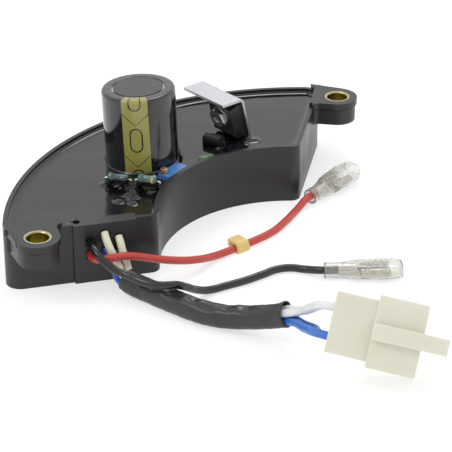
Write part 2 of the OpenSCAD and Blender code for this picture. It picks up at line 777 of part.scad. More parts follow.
module clamp_washer() color("#a8a89e") {
    on_clamp(bend_r - dev_t) difference() {
        cylinder(d = washer_d, h = washer_t);
        translate([0, 0, -past]) cylinder(d = clamp_d + 4*seat_gap, h = washer_t + 2*past);
    }
}

module clamp_nut() color("#bdbdb2") {
    on_clamp(bend_r - dev_t - washer_t) difference() {
        intersection() {
            rotate([0, 0, nut_turn]) cylinder(d = nut_af/cos(30), h = nut_h, $fn = 6);
            translate([0, 0, -past]) cylinder(d1 = nut_cone_d, d2 = nut_af + nut_edge_w, h = nut_h + past);
        }
        translate([0, 0, -past]) cylinder(d = clamp_d, h = nut_h + 2*past);
    }
}

// A wire lead: out of the part, round a bend and down to the board
module pin(reach, down, grow) {
    r = pin_d/2 + grow;
    rotate([0, 90, 0]) cylinder(r = r, h = reach, $fn = 24);
    translate([reach, 0, 0]) sphere(r, $fn = 24);
    translate([reach, 0, -down]) cylinder(r = r, h = down, $fn = 24);
}

module diode_shape(grow) {
    z = pot_z + diode_rise;
    translate([diode_x, diode_y, z]) rotate([0, 0, diode_turn]) {
        rotate([0, 90, 0]) translate([0, 0, -diode_l/2 - grow])
            cylinder(d = diode_d + 2*grow, h = diode_l + 2*grow);
        for (end = [0, 180]) rotate([0, 0, end])
            translate([diode_l/2 - pin_in, 0, 0]) pin(pin_out, z - board_top + grow, grow);
    }
}

module rectifier_diode() color("#1d1e20") diode_shape(0);

module film_shape(grow) {
    r = film_t/2;
    top = pot_z + film_rise + grow;
    half = film_w/2 - r;
    translate([0, notch_cy, 0]) rotate([0, 0, -film_angle])
        translate([0, notch_r + wall + part_gap + r, 0]) {
        translate([0, 0, board_top - grow]) linear_extrude(top - r - board_top + grow) {
            square([2*half, film_t + 2*grow], center = true);
            for (side = [-1, 1]) translate([side*half, 0]) circle(r + grow);
        }
        translate([-half, 0, top - r]) rotate([0, 90, 0]) cylinder(r = r + grow, h = 2*half);
        for (side = [-1, 1]) translate([side*half, 0, top - r]) sphere(r + grow);
    }
}

module film_capacitor() color("#5d7a4c") film_shape(0);

function pin_at(at, length, end) =
    at + end*(length/2 + pin_out - pin_in)*[cos(resistor_turn), sin(resistor_turn)];

module resistor_frame(at) {
    translate([at[0], at[1], pot_z + resistor_rise])
        rotate([0, 0, resistor_turn])
            children();
}

module resistor_pins(at, length, grow) {
    resistor_frame(at) for (end = [0, 180]) rotate([0, 0, end])
        translate([length/2 - pin_in, 0, 0])
            pin(pin_out, pot_z + resistor_rise - board_top + grow, grow);
}

// Half of a resistor's outline: a waist in the middle and a swollen end with sloping shoulders
function resistor_half(length, d) = [[0, 0], [0.4*d, 0], [0.4*d, 0.24*length], [0.5*d, 0.31*length],
    [0.5*d, 0.4*length], [0.3*d, 0.5*length], [0, 0.5*length]];

module resistor(at, length, d) {
    resistor_frame(at) rotate([0, 90, 0]) for (side = [0, 1]) mirror([0, 0, side])
        rotate_extrude() polygon(resistor_half(length, d));
    resistor_pins(at, length, 0);
}

module resistor_left() color("#3f7f80") resistor(resistor_left_at, resistor_left_l, resistor_left_d);
module resistor_right() color("#3f7f80") resistor(resistor_right_at, resistor_right_l, resistor_right_d);

// Frame of the trimmer: origin at its top face's middle, X along its body
module trimmer_frame() {
    translate([0, notch_cy, trim_top])
        rotate([0, 0, trim_angle])
            translate([0, trim_radius, 0])
                children();
}

module trimmer_block(grow) {
    trimmer_frame() translate([-trim_l/2 - grow, -trim_w/2 - grow, -trim_h - grow])
        cube([trim_l + 2*grow, trim_w + 2*grow, trim_h + grow + (grow > 0 ? past : 0)]);
}

// Frame of the adjusting screw: origin on its axis at the trimmer's top
module screw_frame() {
    trimmer_frame()
        translate([screw_inset - trim_l/2, trim_w/2 - screw_inset, 0])
            children();
}

// Twice the depth of the steps at the trimmer's foot
trim_foot = 1.2;

module trimmer_body() color("#2d57a5") {
    difference() {
        trimmer_block(0);
        screw_frame() translate([0, 0, -screw_sink])
            cylinder(d = screw_d + 2*turn_gap, h = screw_sink + past);
        for (side = [-1, 1]) trimmer_frame() translate([side*trim_l/2, 0, -trim_h])
            cube([trim_foot, trim_w + past, trim_foot], center = true);
    }
}

module trimmer_screw() color("#c8a24a") {
    edge = 0.2;
    difference() {
        screw_frame() {
            translate([0, 0, -screw_sink + turn_gap])
                cylinder(d = screw_d, h = screw_sink + screw_rise - edge - turn_gap);
            translate([0, 0, screw_rise - edge])
                cylinder(d1 = screw_d, d2 = screw_d - 2*edge, h = edge);
        }
        screw_frame() translate([-screw_d, -slot_w/2, screw_rise - slot_depth])
            cube([2*screw_d, slot_w, slot_depth + past]);
    }
}

// Where a lead ends inside its clear cover
function cover_point(at, turn, x) = [at[0] + x*cos(turn), at[1] + x*sin(turn), base_z + cover_h/2];

module red_lead() color("#c03a2b") cord(concat([exit_at(exit_red)], red_route,
    [cover_point(terminal_red_at, terminal_red_turn, 0),
     cover_point(terminal_red_at, terminal_red_turn, cover_lead_in)]), lead_d/2);

module black_lead() color("#222224") cord(concat([exit_at(exit_black)], black_route,
    [cover_point(terminal_black_at, terminal_black_turn, 0),
     cover_point(terminal_black_at, terminal_black_turn, cover_lead_in)]), lead_d/2);

module harness_lead(spot, start, u, v, finish, across, up) {
    end = [for (x = [-block_l - plug_lead_in, -contact_back])
        plug_point([x, across*contact_pitch_w/2, up*contact_pitch_h/2])];
    cord(concat([exit_at(spot)], start, bundle_path(u, v), finish, end), lead_d/2);
}

module white_lead_1() color("#e4e2d8") harness_lead(exit_white_1, white_1_start, 1, 1, white_1_end, 1, 1);
module white_lead_2() color("#e4e2d8") harness_lead(exit_white_2, white_2_start, -1, 1, white_2_end, 1, -1);
module blue_lead_1() color("#2b4a8c") harness_lead(exit_blue_1, blue_1_start, 1, -1, blue_1_end, -1, 1);
module blue_lead_2() color("#2b4a8c") harness_lead(exit_blue_2, blue_2_start, -1, -1, blue_2_end, -1, -1);

module harness_sleeve() color("#2a2a2c")
    hose(harness_route, harness_d/2, harness_d/2 - harness_wall);

// The clip sits on the red route between two of its points, in line with the lead there
clip_from = red_route[10];
clip_to = red_route[11];
clip_at = clip_from + 0.22*(clip_to - clip_from);
clip_turn = atan2(clip_to[1] - clip_from[1], clip_to[0] - clip_from[0]);
// Width of the clip's slit, and how far its lips stand above its ring
clip_slit = 0.4;
clip_lip = 0.9;
module lead_clip() color("#ddd09a") {
    outer = lead_d/2 + seat_gap + clip_t;
    translate(clip_at) rotate([0, 0, clip_turn]) rotate([0, 90, 0])
        translate([0, 0, -clip_l/2]) linear_extrude(clip_l) difference() {
            union() {
                intersection() {
                    circle(outer);
                    translate([-2*outer, -outer]) square([2*outer + lead_d/2, 2*outer]);
                }
                translate([-outer, 0]) square([outer, outer + clip_lip]);
            }
            circle(lead_d/2 + seat_gap);
            translate([-outer/2, lead_d/2]) square([clip_slit, 2*outer]);
        }
}

// Frame of a terminal: origin on the lead's axis where the clear cover starts
module terminal_frame(at, turn) {
    translate(cover_point(at, turn, 0)) rotate([0, 0, turn]) children();
}

// Sheet of a spade receptacle, and the length of its neck between crimp and rolled part
spade_sheet = 0.6;
spade_neck = 1.4;

module terminal(at, turn) {
    roll = spade_h/2;
    sheet = spade_sheet;
    spade_x = cover_lead_in + crimp_l + spade_neck;
    terminal_frame(at, turn) {
        translate([cover_lead_in, 0, 0]) rotate([0, 90, 0]) cylinder(d = crimp_d, h = crimp_l);
        hull() {
            translate([cover_lead_in + crimp_l - merge, 0, 0]) rotate([0, 90, 0])
                cylinder(d = crimp_d, h = merge, $fn = 24);
            translate([spade_x, -spade_w/2 + roll, -roll]) cube([merge, spade_w - 2*roll, sheet]);
        }
        translate([spade_x, 0, 0]) rotate([90, 0, 90]) linear_extrude(spade_l) difference() {
            union() {
                translate([roll - spade_w/2, -roll]) square([spade_w - 2*roll, sheet]);
                for (side = [-1, 1]) translate([side*(spade_w/2 - roll), 0]) circle(roll);
            }
            for (side = [-1, 1]) translate([side*(spade_w/2 - roll), 0]) circle(roll - sheet);
            translate([-spade_w/2 + roll, sheet - roll]) square([spade_w - 2*roll, 2*sheet]);
        }
    }
}

module terminal_red() color("#b8b6a8") terminal(terminal_red_at, terminal_red_turn);
module terminal_black() color("#b8b6a8") terminal(terminal_black_at, terminal_black_turn);

// Flat oval of a clear cover over the receptacle, from x by length
module cover_oval(x, length, w, h) {
    translate([x, 0, 0]) rotate([90, 0, 90]) linear_extrude(length) {
        square([w - h, h], center = true);
        for (side = [-1, 1]) translate([side*(w - h)/2, 0]) circle(d = h);
    }
}

// Clear cover: a round neck on the lead, a taper and the oval part, all smaller by trim
module cover_shape(trim) {
    neck = cover_neck_d - 2*trim;
    w = cover_w - 2*trim;
    h = cover_h - 2*trim;
    out = trim > 0 ? past : 0;
    body_x = cover_lead_in + crimp_l;
    translate([-out, 0, 0]) rotate([0, 90, 0]) cylinder(d = neck, h = cover_lead_in + out + merge);
    hull() {
        translate([cover_lead_in - merge, 0, 0]) rotate([0, 90, 0])
            cylinder(d = neck - merge, h = merge, $fn = 32);
        for (side = [-1, 1]) translate([body_x, side*(w - h)/2, 0]) rotate([0, 90, 0])
            cylinder(d = h - merge, h = 2*merge, $fn = 32);
    }
    cover_oval(body_x, cover_l - body_x + out, w, h);
}

module cover(at, turn) {
    terminal_frame(at, turn) difference() {
        cover_shape(0);
        cover_shape(cover_wall);
    }
}

module terminal_cover_red() color("#c9cdd0") cover(terminal_red_at, terminal_red_turn);
module terminal_cover_black() color("#c9cdd0") cover(terminal_black_at, terminal_black_turn);

module plug_frame() {
    translate(plug_at) rotate(plug_turn) children();
}

module contact_places() {
    for (across = [-1, 1]) for (up = [-1, 1])
        translate([0, across*contact_pitch_w/2, up*contact_pitch_h/2]) children();
}

// How much smaller the hood's inner chamfers are, per unit of wall
hood_inner = 0.4;
// Locking catch under the arm's end: its length, and how far it hangs below the arm
catch_l = 2.2;
catch_h = 1.2;

module hood_outline(inset) {
    w = hood_w/2 - inset;
    h = hood_h/2 - inset;
    cw = hood_chamfer_w - hood_inner*inset;
    ch = hood_chamfer_h - hood_inner*inset;
    polygon([[w, ch - h], [w, h - ch], [w - cw, h], [cw - w, h], [-w, h - ch], [-w, ch - h],
        [cw - w, -h], [w - cw, -h]]);
}

module plug_housing() color("#dfe0dc") {
    plug_frame() difference() {
        union() {
            translate([-block_l, -block_w/2, -block_h/2]) cube([block_l + merge, block_w, block_h]);
            rotate([90, 0, 90]) linear_extrude(hood_l) hood_outline(0);
            translate([0, -arm_w/2, hood_h/2 - merge]) cube([hood_l + arm_reach, arm_w, arm_h + merge]);
            translate([hood_l + arm_reach - catch_l, -arm_w/2, hood_h/2 - catch_h])
                cube([catch_l, arm_w, catch_h + merge]);
        }
        translate([hood_wall, 0, 0]) rotate([90, 0, 90]) linear_extrude(hood_l) hood_outline(hood_wall);
        contact_places() translate([-block_l - past, 0, 0]) rotate([0, 90, 0])
            cylinder(d = contact_d + 4*seat_gap, h = block_l + 2*past + hood_wall);
    }
}

module plug_contacts() color("#c9b27a") {
    plug_frame() contact_places() {
        translate([-contact_back, 0, 0]) rotate([0, 90, 0])
            cylinder(d = contact_d, h = contact_back + hood_wall);
        translate([hood_wall - merge, -blade_w/2, -blade_t/2]) cube([blade_l, blade_w, blade_t]);
    }
}

housing();
potting();
bush_left();
bush_right();
circuit_board();
capacitor_can();
capacitor_sleeve();
capacitor_top_disc();
capacitor_bead();
heat_sink();
power_transistor();
clamp_screw();
clamp_washer();
clamp_nut();
rectifier_diode();
film_capacitor();
resistor_left();
resistor_right();
trimmer_body();
trimmer_screw();
red_lead();
black_lead();
white_lead_1();
white_lead_2();
blue_lead_1();
blue_lead_2();
harness_sleeve();
lead_clip();
terminal_red();
terminal_black();
terminal_cover_red();
terminal_cover_black();
plug_housing();
plug_contacts();
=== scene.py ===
# %% [markdown]
# # A half-moon voltage regulator
# The regulator of a portable generator is a shallow moulded case filled with black epoxy. A few parts
# stand out of the epoxy, and six leads come out of one end wall.
# The imported CAD model is the frame of this scene. It is loaded first. The dressed model has to stay
# inside it.

import math

import bpy
import numpy as np
from mathutils import Matrix, Vector


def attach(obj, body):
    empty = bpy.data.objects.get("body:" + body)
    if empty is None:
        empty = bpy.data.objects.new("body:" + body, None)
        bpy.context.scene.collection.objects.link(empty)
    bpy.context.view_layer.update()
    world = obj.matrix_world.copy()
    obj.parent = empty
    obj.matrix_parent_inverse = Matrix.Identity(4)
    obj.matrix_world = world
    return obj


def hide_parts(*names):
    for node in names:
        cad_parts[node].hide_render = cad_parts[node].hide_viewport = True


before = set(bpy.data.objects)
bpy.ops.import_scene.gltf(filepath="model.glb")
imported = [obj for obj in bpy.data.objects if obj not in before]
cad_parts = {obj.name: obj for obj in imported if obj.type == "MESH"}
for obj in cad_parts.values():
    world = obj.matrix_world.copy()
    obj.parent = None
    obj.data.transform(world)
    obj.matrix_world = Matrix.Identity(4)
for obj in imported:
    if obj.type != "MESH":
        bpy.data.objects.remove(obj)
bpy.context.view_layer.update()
scene = bpy.context.scene
BODY = "regulator"
MM = 0.001
BASE_Z, POT_Z, RIM_Z = -12.2, 4.7, 6.2  # heights of the case's base, of the epoxy and of the rim, in mm
HOLE_X, END_SLOPE = 64, math.radians(32.5)  # half the distance of the bolt holes, and the end walls' slope


# %% [markdown]
# ## Camera
# The photograph was taken with a long lens from the front left, 28 degrees above the table. The place
# and the lens were fitted to points of the case, so that the render can be laid over the photograph.
# A long lens keeps parallel edges nearly parallel, as in catalogue pictures.

# %% Camera
PHOTO_PX = 452
FOCAL_PX = 2060
camera_data = bpy.data.cameras.new("studio_camera")
camera_data.sensor_width = 36
camera_data.lens = FOCAL_PX / PHOTO_PX * camera_data.sensor_width
camera_data.shift_x = -8 / PHOTO_PX
camera_data.shift_y = -4 / PHOTO_PX
camera_data.clip_end = 20
camera = bpy.data.objects.new("studio_camera", camera_data)
camera.matrix_world = (
    Matrix.Translation(Vector((-394.9, -381.0, 276.6)) * MM)
    @ Matrix.Rotation(math.radians(-47.15), 4, "Z")
    @ Matrix.Rotation(math.radians(90 - 27.81), 4, "X")
    @ Matrix.Rotation(math.radians(-0.16), 4, "Z")
)
scene.collection.objects.link(camera)
scene.camera = camera
scene.view_settings.view_transform = "Standard"
print("lens of", round(camera_data.lens, 1), "mm")


# %% [markdown]
# ## Helpers for materials
# Colours are picked as sRGB hex values, but shaders work in linear light, so one function converts
# them. A second one adds a node with its settings and links, which keeps each material short enough
# to read in one go. Patterns are given in millimetres and turned to a texture's scale.


# %% Colour and node helpers
def linear(hex_colour):
    """An sRGB hex value as linear red, green, blue and alpha."""
    parts = [int(hex_colour[i : i + 2], 16) / 255 for i in (1, 3, 5)]
    return [c / 12.92 if c <= 0.04045 else ((c + 0.055) / 1.055) ** 2.4 for c in parts] + [1.0]


def add(tree, kind, inputs=None, **settings):
    """Adds a node, sets its properties, and fills its inputs with values or links."""
    node = tree.nodes.new("ShaderNode" + kind)
    for name, value in settings.items():
        setattr(node, name, value)
    for name, value in (inputs or {}).items():
        if isinstance(value, bpy.types.NodeSocket):
            tree.links.new(value, node.inputs[name])
        else:
            node.inputs[name].default_value = value
    return node


def per_mm(size):
    """The scale that makes one cell of a texture that many millimetres wide."""
    return 1 / (size * MM)


def new_material(name, colour, roughness, metallic=0.0, **sockets):
    """A Principled material. sockets are more of its inputs, with _ for a space."""
    material = bpy.data.materials.new(name)
    material.use_nodes = True
    shader = material.node_tree.nodes["Principled BSDF"]
    shader.inputs["Base Color"].default_value = linear(colour)
    shader.inputs["Roughness"].default_value = roughness
    shader.inputs["Metallic"].default_value = metallic
    for socket, value in sockets.items():
        shader.inputs[socket.replace("_", " ")].default_value = value
    return material, material.node_tree, shader


def vary(tree, shader, colours, rough, size, bump_size, bump_mm, strength=0.5, coordinates=None):
    """Lets colour and roughness drift over a surface, and gives it a fine relief."""
    place = coordinates or add(tree, "TexCoord").outputs["Object"]
    drift = add(tree, "TexNoise", {"Vector": place, "Scale": per_mm(size), "Detail": 4.0})
    mix = add(tree, "MixRGB", {"Fac": drift.outputs["Fac"], "Color1": linear(colours[0]), "Color2": linear(colours[1])})
    tree.links.new(mix.outputs["Color"], shader.inputs["Base Color"])
    spread = add(tree, "MapRange", {"Value": drift.outputs["Fac"], "From Min": 0.3, "From Max": 0.7,
                                    "To Min": rough[0], "To Max": rough[1]})
    tree.links.new(spread.outputs["Result"], shader.inputs["Roughness"])
    grain = add(tree, "TexNoise", {"Vector": place, "Scale": per_mm(bump_size), "Detail": 2.0})
    relief = add(tree, "Bump", {"Height": grain.outputs["Fac"], "Distance": bump_mm * MM, "Strength": strength})
    tree.links.new(relief.outputs["Normal"], shader.inputs["Normal"])
    return mix, relief


print("helpers ready")

# %% [markdown]
# ## Lead insulation
# The leads are stranded copper in extruded PVC. Extrusion gives a smooth skin with a soft gloss and
# slight marks along its length. The skin is coloured all through, so one colour with a faint drift is
# enough, and the gloss makes the long highlight that runs along each lead.


# %% PVC materials
def pvc(name, colour, deeper, shade_at_case, roughness=0.3):
    """Extruded PVC: dyed through, soft gloss. The waves of 2.5 mm are handling marks."""
    material, tree, shader = new_material(name, colour, roughness, IOR=1.53, Specular_IOR_Level=0.5)
    mix, relief = vary(tree, shader, (colour, deeper), (roughness - 0.06, roughness + 0.1), 6.0, 2.5, 0.05, 0.3)
    # Painted shade: next to the case the insulation is drawn darker, and the white also yellower; this fades from y =
    # -5 mm to y = -30 mm
    y = add(tree, "SeparateXYZ", {"Vector": add(tree, "TexCoord").outputs["Object"]}).outputs["Y"]
    near = add(tree, "MapRange", {"Value": y, "From Min": -0.030, "From Max": -0.005})
    case_shade = add(tree, "MixRGB", {"Fac": near.outputs["Result"], "Color1": mix.outputs["Color"],
                                "Color2": linear(shade_at_case)})
    tree.links.new(case_shade.outputs["Color"], shader.inputs["Base Color"])
    return material


# The last colour of each lead is its painted shade next to the case
red_pvc = pvc("red PVC, extruded", "#c4423b", "#b03630", "#b53a34")
black_pvc = pvc("black PVC, extruded", "#141415", "#1c1c1d", "#111112", 0.17)
white_pvc = pvc("white PVC, extruded", "#e3e5e6", "#d3d5d6", "#d9dcbc")
blue_pvc = pvc("blue PVC, extruded", "#3f76cc", "#2f61b2", "#1f4f9c")
print("PVC:", red_pvc.name, black_pvc.name, white_pvc.name, blue_pvc.name)


# %% [markdown]
# ## Leads
# Each lead is a curve through the route's points of the CAD source, in millimetres, with a round
# bevel for the insulation. A curve fits here because a lead is one section swept along a line, and the
# automatic handles bend it as gently as a real lead. The photograph shows both ends of nearly every
# lead, so the routes follow it. Their heights, and the run inside the sleeve, are a reading of it.

# %% Routes of the leads
LEAD_D = 2.3
routes = {
    "red_lead": [
        (-47.46, -3.07, -3.5), (-48.8, -5.6, -3.3), (-49.1, -8.4, -2.6), (-47.5, -11.2, -1.8),
        (-44.9, -12.9, -1.6), (-42.2, -14.1, -2.1), (-39.3, -15.4, -3.1), (-35.5, -17.2, -4.6),
        (-30, -19.8, -6.4), (-23, -20.9, -8.6), (-15, -20.9, -10.6), (-7, -21.6, -11.05),
        (1, -22.6, -11.05), (8, -22.8, -11.05), (16, -21.1, -11.05), (24, -18.6, -11.05),
        (29.5, -17.6, -9.9), (33.48, -17.25, -9.9)],
    "black_lead": [
        (-47.46, -3.07, 0.7), (-49.3, -6, 0.9), (-50.6, -9.3, 0.2), (-50.6, -12.4, -1.4),
        (-49.9, -15.6, -2.8), (-49, -19, -3.5), (-48.5, -23, -3.8), (-47.5, -27, -4),
        (-45.6, -30.3, -4), (-42.8, -32.4, -4.2), (-39.2, -33, -6.2), (-35, -32.7, -8.9),
        (-30.5, -33, -10.8), (-25, -34.7, -11.05), (-19, -36.7, -11.05), (-13, -38, -11.05),
        (-8, -39, -11.05), (-4.6, -41.4, -11.05), (-2.8, -44.6, -11.05), (-1, -50.6, -9.9),
        (1.88, -53.38, -9.9)],
    "white_lead_1": [
        (-43.75, -5.43, 2.8), (-44.6, -7, 1.5), (-44.9, -8.6, -0.6), (-44.7, -10, -2.8),
        (-45.2, -12, -4.5), (-46.51, -15.86, -6.5), (-46.31, -19.09, -7.28), (-45.62, -24.13, -7.62),
        (-45.23, -32.1, -7.62), (-44.22, -41.68, -7.62), (-42.51, -48.46, -7.28), (-40.25, -54.14, -6.4),
        (-38.48, -60.48, -4.53), (-36.69, -66.95, -2.24), (-36.4, -72, 0.2), (-38.2, -77.5, 4.4),
        (-39.56, -84.07, 8.18), (-35.25, -90.79, 6.86)],
    "white_lead_2": [
        (-40.37, -7.58, 1.1), (-41.1, -9, -0.1), (-41.5, -10.2, -2.2), (-41.9, -11.7, -4.3),
        (-42.9, -13.6, -5.8), (-44.05, -15.71, -6.5), (-43.86, -18.83, -7.28), (-43.17, -23.93, -7.62),
        (-42.77, -31.9, -7.62), (-41.79, -41.27, -7.62), (-40.16, -47.71, -7.28), (-37.92, -53.36, -6.4),
        (-36.11, -59.82, -4.53), (-34.32, -66.29, -2.24), (-33.8, -72, -0.6), (-33.4, -76.5, 2.4),
        (-35.11, -80.55, 4.81), (-30.8, -87.27, 3.49)],
    "blue_lead_1": [
        (-43.75, -5.43, -2.6), (-44.5, -7.6, -3.8), (-45.2, -9.9, -6), (-46, -12.6, -8.1),
        (-46.55, -15.29, -8.9), (-46.34, -18.77, -9.72), (-45.63, -24.07, -10.08), (-45.23, -32.1, -10.08),
        (-44.21, -41.73, -10.08), (-42.44, -48.69, -9.72), (-40.08, -54.64, -8.8), (-38.29, -61.18, -6.87),
        (-36.48, -67.71, -4.56), (-37.8, -72, -2.8), (-41, -78, -0.6), (-43.45, -85.3, 1.77),
        (-39.13, -92.03, 0.45)],
    "blue_lead_2": [
        (-40.54, -7.47, -3.4), (-41.2, -8.9, -4.7), (-41.8, -10.6, -6.7), (-42.8, -12.9, -8.4),
        (-44.09, -15.14, -8.9), (-43.89, -18.51, -9.72), (-43.18, -23.87, -10.08), (-42.77, -31.9, -10.08),
        (-41.78, -41.32, -10.08), (-40.09, -47.94, -9.72), (-37.75, -53.86, -8.8), (-35.92, -60.52, -6.87),
        (-34.11, -67.05, -4.56), (-34.5, -72, -4.5), (-36.2, -77.5, -3), (-39, -81.78, -1.6),
        (-34.68, -88.51, -2.93)],
}
print({name: len(points) for name, points in routes.items()})


def sweep(name, points, diameter, material):
    """A round lead through points in millimetres."""
    data = bpy.data.curves.new(name, "CURVE")
    data.dimensions = "3D"
    data.bevel_depth = diameter / 2 * MM
    data.bevel_resolution = 4
    data.resolution_u = 8
    data.use_fill_caps = True
    spline = data.splines.new("BEZIER")
    spline.bezier_points.add(len(points) - 1)
    for knot, point in zip(spline.bezier_points, points):
        knot.co = Vector(point) * MM
        knot.handle_left_type = knot.handle_right_type = "AUTO"
    piece = bpy.data.objects.new(name, data)
    data.materials.append(material)
    scene.collection.objects.link(piece)
    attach(piece, BODY)
    return piece


def curve_length(piece):
    """Length of a curve's line in metres."""
    bpy.context.view_layer.update()
    return sum(s.calc_length() for s in piece.data.splines)


lead_finish = {"red_lead": (red_pvc, "red_pvc"), "black_lead": (black_pvc, "black_pvc"),
               "white_lead_1": (white_pvc, "white_pvc"), "white_lead_2": (white_pvc, "white_pvc"),
               "blue_lead_1": (blue_pvc, "blue_pvc"), "blue_lead_2": (blue_pvc, "blue_pvc")}
leads = {}
for node, points in routes.items():
    material, slot = lead_finish[node]
    piece = sweep("insulation_" + node, points, LEAD_D, material)
    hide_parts(node)
    leads[node] = piece
    print(node, round(curve_length(piece) / MM, 1), "mm")


# %% [markdown]
# ## Mesh helpers
# Most other pieces are rings of points joined by faces: a profile revolved round an axis, or sections
# along a line. Most CAD solids come with clean edges and keep them. A few pieces have their edges
# rounded by a bevel, and the seams of the mesh are welded first, or the bevel would open them.


# %% Mesh helpers
def new_piece(name, points, faces, material, maps=None):
    """A smooth mesh from points in millimetres, riding on the regulator."""
    mesh = bpy.data.meshes.new(name)
    mesh.from_pydata([tuple(c * MM for c in p) for p in points], [], faces)
    if maps is not None:
        layer = mesh.uv_layers.new(name="length_mm")
        corners = np.empty(len(mesh.loops), int)
        mesh.loops.foreach_get("vertex_index", corners)
        layer.data.foreach_set("uv", np.asarray(maps, float)[corners].ravel())
    mesh.materials.append(material)
    mesh.shade_smooth()
    mesh.update()
    piece = bpy.data.objects.new(name, mesh)
    scene.collection.objects.link(piece)
    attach(piece, BODY)
    return piece


def loft(rings, closed=True, caps=False):
    """Faces between rings of as many points each. closed joins a ring's last point to its first."""
    count, sides = len(rings), len(rings[0])
    faces = []
    for i in range(count - 1):
        for k in range(sides if closed else sides - 1):
            n = (k + 1) % sides
            faces.append((i * sides + k, i * sides + n, (i + 1) * sides + n, (i + 1) * sides + k))
    if caps:
        faces += [tuple(range(sides - 1, -1, -1)), tuple(range((count - 1) * sides, count * sides))]
    return [p for ring in rings for p in ring], faces


def soften(piece, width_mm, segments=2, angle=30):
    """Rounds the sharp edges of a solid, as a mould or a tumbler leaves them."""
    weld = piece.modifiers.new("weld seams", "WELD")
    weld.merge_threshold = 0.002 * MM
    flats = piece.modifiers.new("join flat triangles", "DECIMATE")
    flats.decimate_type = "DISSOLVE"
    flats.angle_limit = math.radians(0.4)
    bevel = piece.modifiers.new("round edges", "BEVEL")
    bevel.width = width_mm * MM
    bevel.segments = segments
    bevel.limit_method = "ANGLE"
    bevel.angle_limit = math.radians(angle)
    bevel.use_clamp_overlap = False
    even = piece.modifiers.new("even shading", "WEIGHTED_NORMAL")
    even.weight = 100
    return piece


def finish_node(name, material, edge_mm=0.0, segments=2):
    """Gives a CAD node its material and, where edge_mm is set, rounded edges."""
    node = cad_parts[name]
    node.data.materials.clear()
    node.data.materials.append(material)
    if edge_mm:
        soften(node, edge_mm, segments)
    return node


print("mesh helpers ready")

# %% [markdown]
# ## Case
# The case is a black thermoplastic moulding. Spark-eroded mould walls leave a fine matt grain, real
# grain is about 0.05 mm, and it is drawn at 0.6 mm here so that it still breaks up the highlights in
# a small picture. The ears and the outlet block are part of the same moulding, so the CAD solid is
# kept whole and gets only its surface. Two small things are added to it in the same plastic.

# %% Case material
case_plastic, tree, shader = new_material("black thermoplastic, moulded with fine grain", "#141416", 0.36, IOR=1.53)
vary(tree, shader, ("#121214", "#1c1c1e"), (0.3, 0.42), 9.0, 0.6, 0.02, 0.35)
finish_node("housing", case_plastic)
print("case:", case_plastic.name)


# %% Outer roots of the ears
# A gusset fills the corner between each ear and the round corner of the case, for the flange above and
# for the boss below. Its outline is x and y of the right ear in millimetres, and the left is its mirror.
flange_gusset = [(69.95, 2.45), (65.7, 12.6), (64.0, 9.4), (66.9, 3.2)]
boss_gusset = [(69.41, 2.23), (65.2, 12.35), (64.0, 9.4), (66.9, 3.2)]
for side, word in ((-1, "left"), (1, "right")):
    for part, outline, bottom, top in (("flange", flange_gusset, 5.28, 7.43), ("boss", boss_gusset, 0.0, 5.4)):
        corners = [(side * x, y) for x, y in outline][::side]
        points, faces = loft([[(x, y, z) for x, y in corners] for z in (bottom, top)], caps=True)
        soften(new_piece(f"ear_{part}_gusset_{word}", points, faces, case_plastic), 0.15)
print("gussets on both ears")

# %% Void in the outlet block
# An air bubble left a round mouth in the block's top. A slight lip and a black floor stand for it,
# because nothing can be cut out of a CAD node; both are painted shade, the dark inside of the hole. Each ring is a
# radius and a height over the rim, in mm.
void_painted_shade, tree, shader = new_material("painted shade in a bubble hole", "#020203", 0.9,
                                       Specular_IOR_Level=0.05)
vary(tree, shader, ("#020203", "#060607"), (0.85, 0.95), 1.0, 0.3, 0.05)
VOID_AT, VOID_SIDES = (-49.15, 0.37), 40
rings = []
for radius, lift in ((1.12, -0.03), (1.04, 0.05), (0.97, 0.06), (0.9, 0.02), (0.5, 0.015), (0.1, 0.01)):
    ring = []
    for a in np.linspace(0, 2 * math.pi, VOID_SIDES, endpoint=False):
        ring.append((VOID_AT[0] + radius * (1 + 0.06 * math.sin(3 * a + 1)) * math.cos(a),
                     VOID_AT[1] + radius * (1 + 0.05 * math.sin(2 * a)) * math.sin(a), RIM_Z + lift))
    rings.append(ring)
points, faces = loft(rings)
faces.append(tuple(range(len(points) - VOID_SIDES, len(points))))
new_piece("outlet_block_void", points, faces, void_painted_shade)
print("void:", len(points), "points")


# %% [markdown]
# ## Epoxy
# The case is filled with black epoxy. It levels itself like a liquid, creeps up what it wets, and
# sets with a mirror gloss, with faint smudges of dust and flux. A height map on a fine grid gives
# the creep at the walls, the humps where wires enter and a crater behind the outlet block. The CAD
# solid stays underneath.

# %% Case outline as distances
ARC_R, ARC_Y, NOTCH_R, NOTCH_Y = 86.5, 43 - 86.5, 38.5, 0.7 - 38.5
SLOPE, WALL, EAR_REACH, CORNER_R, NOSE_R = END_SLOPE, 1.3, 6.6, 4.5, 3.0
END_K = HOLE_X * math.sin(SLOPE) - EAR_REACH


def corner(centre_y, radius, k):
    """Centre of a corner fillet, from the offset wall k and the offset circle."""
    t = centre_y * math.sin(SLOPE) + math.sqrt(radius**2 - (k + centre_y * math.cos(SLOPE)) ** 2)
    return k * math.sin(SLOPE) + t * math.cos(SLOPE), t * math.sin(SLOPE) - k * math.cos(SLOPE)


